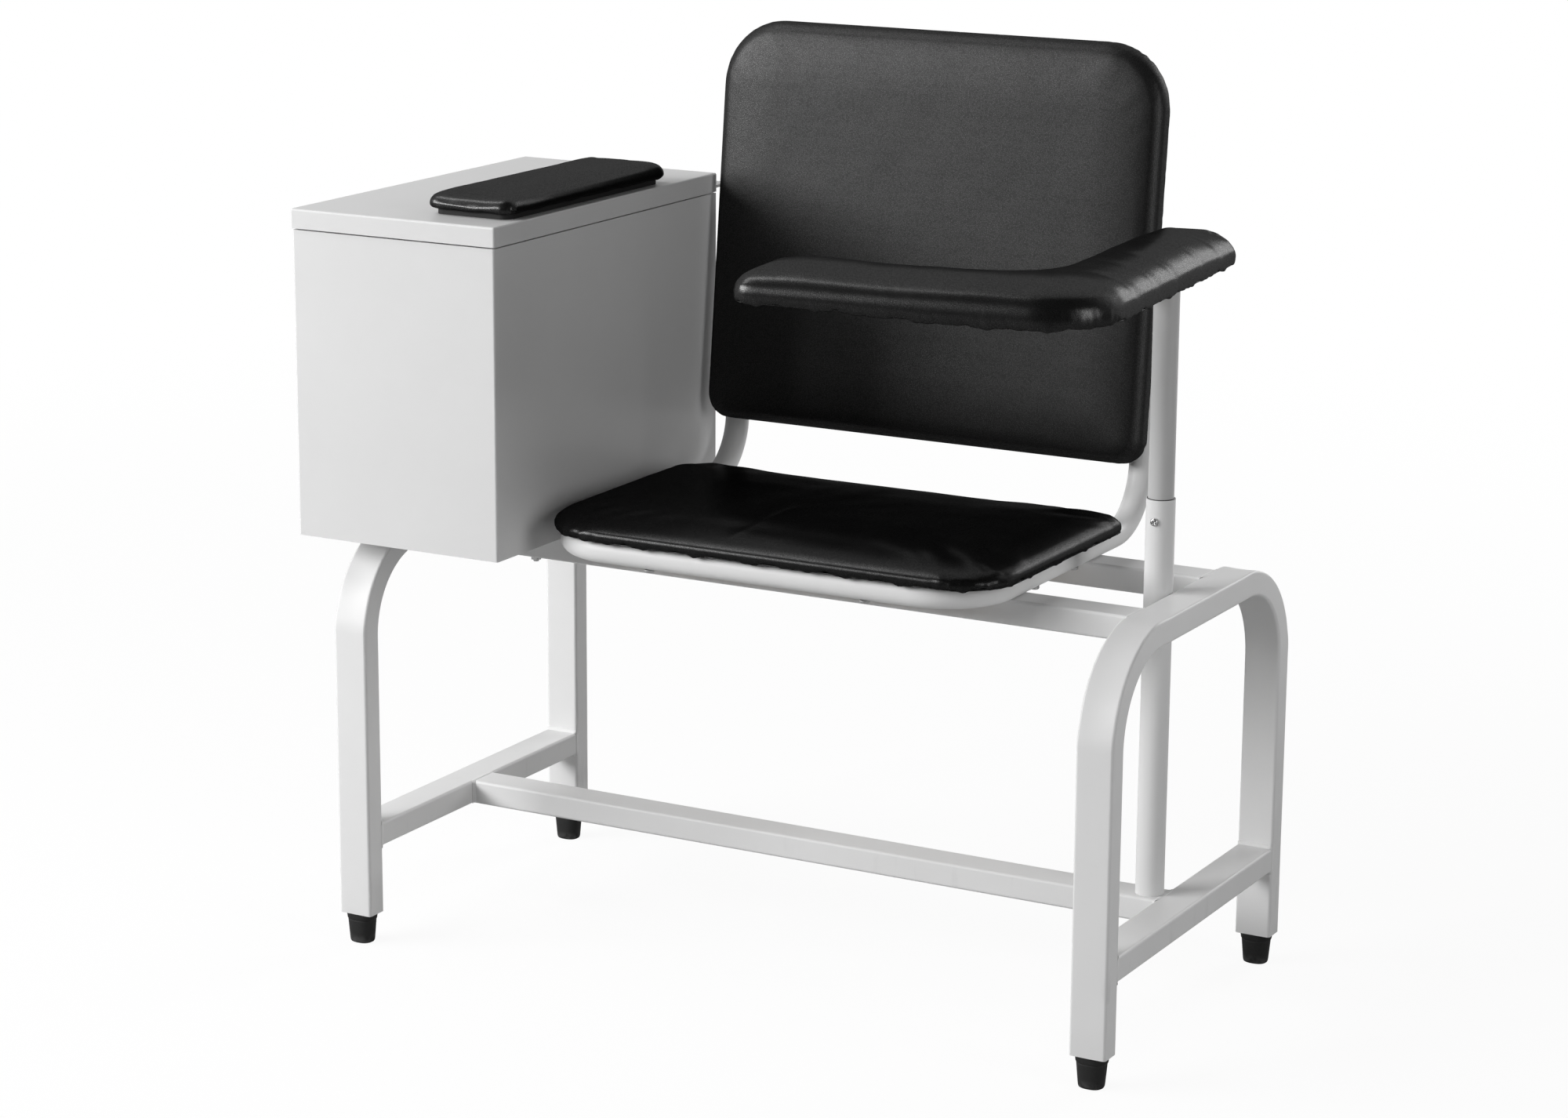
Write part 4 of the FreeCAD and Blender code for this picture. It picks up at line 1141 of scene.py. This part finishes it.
arm_levels = [
    (0.0040, 0.0155), (-0.0016, 0.0125), (-0.0016, 0.0032), (0.0004, 0.0010), (0.0055, 0.0002),
    (0.0120, 0.0006), (0.0160, 0.0020), (0.0187, 0.0046), (0.0205, 0.0084), (arm_edge_top, 0.0135),
]
arm_outline = outline_points(arm_corners, arm_radii, 0.004)
arm_pad = stuffed_form("arm_cushion_vinyl", arm_corners, arm_radii, arm_levels, arm_vinyl)
remeshed(arm_pad, 0.004)


def arm_reach(points, outward):
    """The foam is full close to the inner edges and slopes off over the limb's width to the outer ones."""
    inner = np.clip(np.maximum(outward[:, 1], -outward[:, 0]), 0, 1)
    inner *= np.clip((points[:, 0] + 0.31) / 0.03, 0, 1)
    return 0.046 - 0.027 * inner * np.clip((0.125 - points[:, 1]) / 0.02, 0, 1)


crowned(arm_pad, arm_outline, arm_edge_top, 0.0165, arm_reach)
blown_up(arm_pad, arm_outline, 0.003, 0.0024)
settled(arm_pad, arm_height, 0.0008, 5.0)


def waisted(piece, place_now, width, depth):
    """A slack place across the lap limb, where the foam is a little lower."""
    points = read_points(piece)
    share = np.exp(-(((points[:, 0] - place_now) / width) ** 2))
    lap = np.clip((-0.17 - points[:, 1]) / 0.03, 0, 1)
    high = np.clip(points[:, 2] / arm_height * 2 - 0.8, 0, 1)
    points[:, 2] -= depth * share * lap * high
    write_points(piece, points)


waisted(arm_pad, -0.180, 0.070, 0.0022)
waisted(arm_pad, -0.330, 0.040, 0.0035)
arm_points = read_points(arm_pad)
toward_rear = np.clip((arm_points[:, 1] - 0.010) / (arm_reach_rear - 0.010), 0, 1)
arm_points[:, 2] *= 1 - 0.15 * toward_rear
lap_front = np.exp(-(((arm_points[:, 0] + 0.085) / 0.125) ** 2) - ((arm_points[:, 1] + 0.290) / 0.040) ** 2)
slack = np.clip(1 - arm_points[:, 2] / 0.018, 0, 1)
arm_points[:, 2] -= 0.0042 * lap_front * slack
outer = np.clip((arm_points[:, 0] - arm_reach_right + 0.060) / 0.045, 0, 1)
raised = np.clip(arm_points[:, 2] / arm_height * 1.6 - 0.25, 0, 1)
rear_folds = (
    (-0.232, 0.0008), (-0.186, 0.0012), (-0.128, 0.0009), (-0.075, 0.0012), (0.005, 0.0008), (0.068, 0.0012),
)
for fold_place, fold_depth in rear_folds:
    slant = arm_points[:, 1] - fold_place + 0.35 * (arm_reach_right - arm_points[:, 0])
    fold = fold_depth * np.exp(-((slant / 0.010) ** 2)) * outer * raised
    arm_points[:, 0] -= fold
    arm_points[:, 2] -= 0.7 * fold
write_points(arm_pad, arm_points)
arm_pleats, arm_length = pleat_places(arm_outline, 0.034, 0.0105, 21)
pleated(arm_pad, arm_outline, 0.013, 0.0006, arm_pleats, arm_length, 0.0034, 0.0014)
on_mast = Matrix.Translation(post_axis) @ Matrix.Rotation(arm_rest_turn, 4, "Z")
arm_pad.data.transform(on_mast @ Matrix.Translation((0, 0, arm_low.z)))
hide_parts("arm_cushion")
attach(arm_pad, "arm")
for hem_piece in turned_hem("arm_cover", arm_corners, arm_radii, arm_low.z - 0.0003, 0.017, "arm", arm_vinyl):
    hem_piece.data.transform(on_mast)

paint_node("arm_spigot", zinc)
black_paint, black_shader, place = finish("black_strap_paint", {"Specular IOR Level": 0.3})
strap_peel = place.noise(500.0, 2.0)
connect(
    black_shader,
    Base_Color=place.noise(30.0, 3.0).blend(grey(0.006), grey(0.014)),
    Roughness=0.36 + strap_peel * 0.12,
    Normal=strap_peel.bump(0.00010, 0.4),
)
paint_node("arm_strap", black_paint)
nylon, nylon_shader, place = finish("bush_nylon", {"Specular IOR Level": 0.4})
connect(
    nylon_shader,
    Base_Color=place.noise(200.0).blend((0.70, 0.69, 0.64, 1.0), (0.78, 0.77, 0.72, 1.0)),
    Roughness=0.4 + place.noise(900.0) * 0.15,
)
paint_node("arm_bush", nylon)

# Cabinet: one sheet of steel folded into front and sides, with the back let in and the floor bolted to
# the beams. It has its own spray of gloss paint, a shade whiter than the frame.
cabinet_paint = gloss_paint("cabinet_gloss_paint", 0.66, 0.02)
for node in ("cabinet_wrap", "cabinet_back", "cabinet_floor", "cabinet_lid", "lid_stop_lugs"):
    paint_node(node, cabinet_paint)
for node in ("cabinet_bolts", "cabinet_washers", "cabinet_nuts"):
    paint_node(node, zinc)
paint_node("lid_bumpers", rubber)
for node in ("hinge_fixed_leaf", "hinge_moving_leaf", "hinge_pin"):
    paint_node(node, zinc)

# Pad on the lid: thin foam and vinyl on a black plywood base that is set in, so that a shadow runs
# round it.
lid_vinyl = vinyl("lid_pad_vinyl", 0.000028, 0.26, 0.046)
pad_low, pad_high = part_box("lid_pad_cushion")
pad_corners = box_corners(pad_low, pad_high)
pad_radii = [0.014] * 4
pad_height = pad_high.z - pad_low.z
pad_edge_top = 0.0145
pad_levels = [
    (0.0, 0.008), (0.0, 0.0034), (0.0010, 0.0014), (0.0040, 0.0006), (0.0075, 0.0010), (0.0108, 0.0028),
    (0.0130, 0.0056), (pad_edge_top, 0.0110),
]
pad_outline = outline_points(pad_corners, pad_radii, 0.003)
lid_pad = stuffed_form("lid_pad_vinyl_cover", pad_corners, pad_radii, pad_levels, lid_vinyl)
remeshed(lid_pad, 0.003)
crowned(lid_pad, pad_outline, pad_edge_top, 0.0045, 0.050)
blown_up(lid_pad, pad_outline, 0.002, 0.0012)
settled(lid_pad, pad_height, 0.0004, 7.0)
pad_pleats, pad_length = pleat_places(pad_outline, 0.050, 0.008, 31)
pleated(lid_pad, pad_outline, 0.010, 0.0007, pad_pleats, pad_length, 0.0018)
lid_pad.data.transform(Matrix.Translation((0, 0, pad_low.z)))
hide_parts("lid_pad_cushion")
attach(lid_pad, "lid")
black_board, board_shader, place = finish("black_stained_board", {"Specular IOR Level": 0.3})
stain = place.node("Mapping", {}, {"Vector": place, "Scale": (60.0, 5.0, 60.0)}).noise(3.0, 4.0, 0.6)
connect(
    board_shader,
    Base_Color=stain.blend(grey(0.008), grey(0.022)),
    Roughness=0.6 + stain * 0.2,
    Normal=stain.bump(0.0002, 0.4),
)
paint_node("lid_pad_base", black_board)

# Studio: a pale floor that keeps the chair's soft shadow and runs out to white, a broad light at the
# front left with a narrow strip beside it, weaker ones overhead, at the right and behind, a white
# backdrop and a dark room for the rest.
floor_corner = Vector((20.0, 20.0))
floor_points = [(x, y, -0.0002) for x, y in box_corners(-floor_corner, floor_corner)]
floor_paint, floor_shader, place = finish("pale_floor", {"Specular IOR Level": 0.0, "Roughness": 0.9})


def seen_directly(signal):
    """1 for what the camera sees, straight, in a gloss or through glass, and 0 for scattered light."""
    straight = signal.node("LightPath", {}, {}, output=0)
    path = straight.socket.node
    glossy = Signal(signal.tree, path.outputs["Is Glossy Ray"])
    through = Signal(signal.tree, path.outputs["Is Transmission Ray"])
    return straight.sum("MAXIMUM", straight, straight.sum("MAXIMUM", glossy, through))


backdrop_side = (-math.sin(camera_yaw), math.cos(camera_yaw), 0.0)
floor_depth = place.node("VectorMath", {"operation": "DOT_PRODUCT"}, {0: place, 1: backdrop_side}, output=1)
camera_sees = place.node("LightPath", {}, {}, output=0)
floor_seen = place.sum("MAXIMUM", camera_sees, seen_directly(place) * floor_depth.above(0.6, 0.8))
connect(floor_shader, Base_Color=floor_seen.blend(grey(0.42), grey(0.92)))
distance = place.node("VectorMath", {"operation": "LENGTH"}, {0: place}, output=1)
far_off = distance.above(2.2, 3.0)
glow = place.node("Emission", {}, {"Color": grey(1.0), "Strength": 1.0})
near_glow = 0.93
shared = camera_sees * near_glow * (1 - far_off) + floor_seen * far_off
floor_mix = place.node("MixShader", {}, {0: shared, 2: glow})
floor_tree = floor_paint.node_tree
floor_tree.links.new(floor_shader.outputs[0], floor_mix.socket.node.inputs[1])
floor_tree.links.new(floor_mix.socket, floor_tree.nodes["Material Output"].inputs["Surface"])
floor = mesh_object("studio_floor", floor_points, [(0, 1, 2, 3)], floor_paint, smooth=False)

world = bpy.data.worlds.new("studio")
bpy.context.scene.world = world
world.use_nodes = True
sky = world.node_tree.nodes["Background"]
sky.inputs["Color"].default_value = grey(1.0)
sky_place = world.node_tree.nodes.new("ShaderNodeTexCoord")
direction = Signal(world.node_tree, sky_place.outputs["Generated"])
dotted = {"operation": "DOT_PRODUCT"}
backdrop = direction.node("VectorMath", dotted, {0: direction, 1: backdrop_side}, output=1).above(0.10, 0.5)
straight = direction.node("LightPath", {}, {}, output=0)
mirrored = seen_directly(direction) * backdrop
sky_fill = 0.08
strength = direction.sum("MAXIMUM", straight, mirrored) * (1.0 - sky_fill) + sky_fill
world.node_tree.links.new(strength.socket, sky.inputs["Strength"])


def softbox(name, place_at, look_at, width, height, power):
    """A rectangular area light turned to a point."""
    data = bpy.data.lights.new(name, "AREA")
    data.shape = "RECTANGLE"
    data.size = width
    data.size_y = height
    data.energy = power
    lamp = bpy.data.objects.new(name, data)
    lamp.location = place_at
    lamp.rotation_euler = (look_at - place_at).to_track_quat("-Z", "Y").to_euler()
    bpy.context.scene.collection.objects.link(lamp)
    return lamp


aim = middle + Vector((0, 0, 0.5))
softbox("front_softbox", aim + Vector((-0.68, -0.65, 0.33)) * 4.5, aim, 2.7, 1.5, 205.0)
softbox("front_strip", aim + Vector((-0.31, -0.90, 0.30)) * 4.5, aim, 0.25, 1.3, 9.0)
softbox("overhead_softbox", aim + Vector((-0.49, -0.22, 0.84)) * 3.6, aim, 0.9, 1.6, 31.0)
softbox("right_softbox", aim + Vector((0.95, -0.22, 0.22)) * 3.4, aim, 1.0, 1.8, 30.0)
softbox("rear_softbox", aim + Vector((0.25, 0.92, 0.30)) * 4.2, aim, 1.5, 1.5, 60.0)
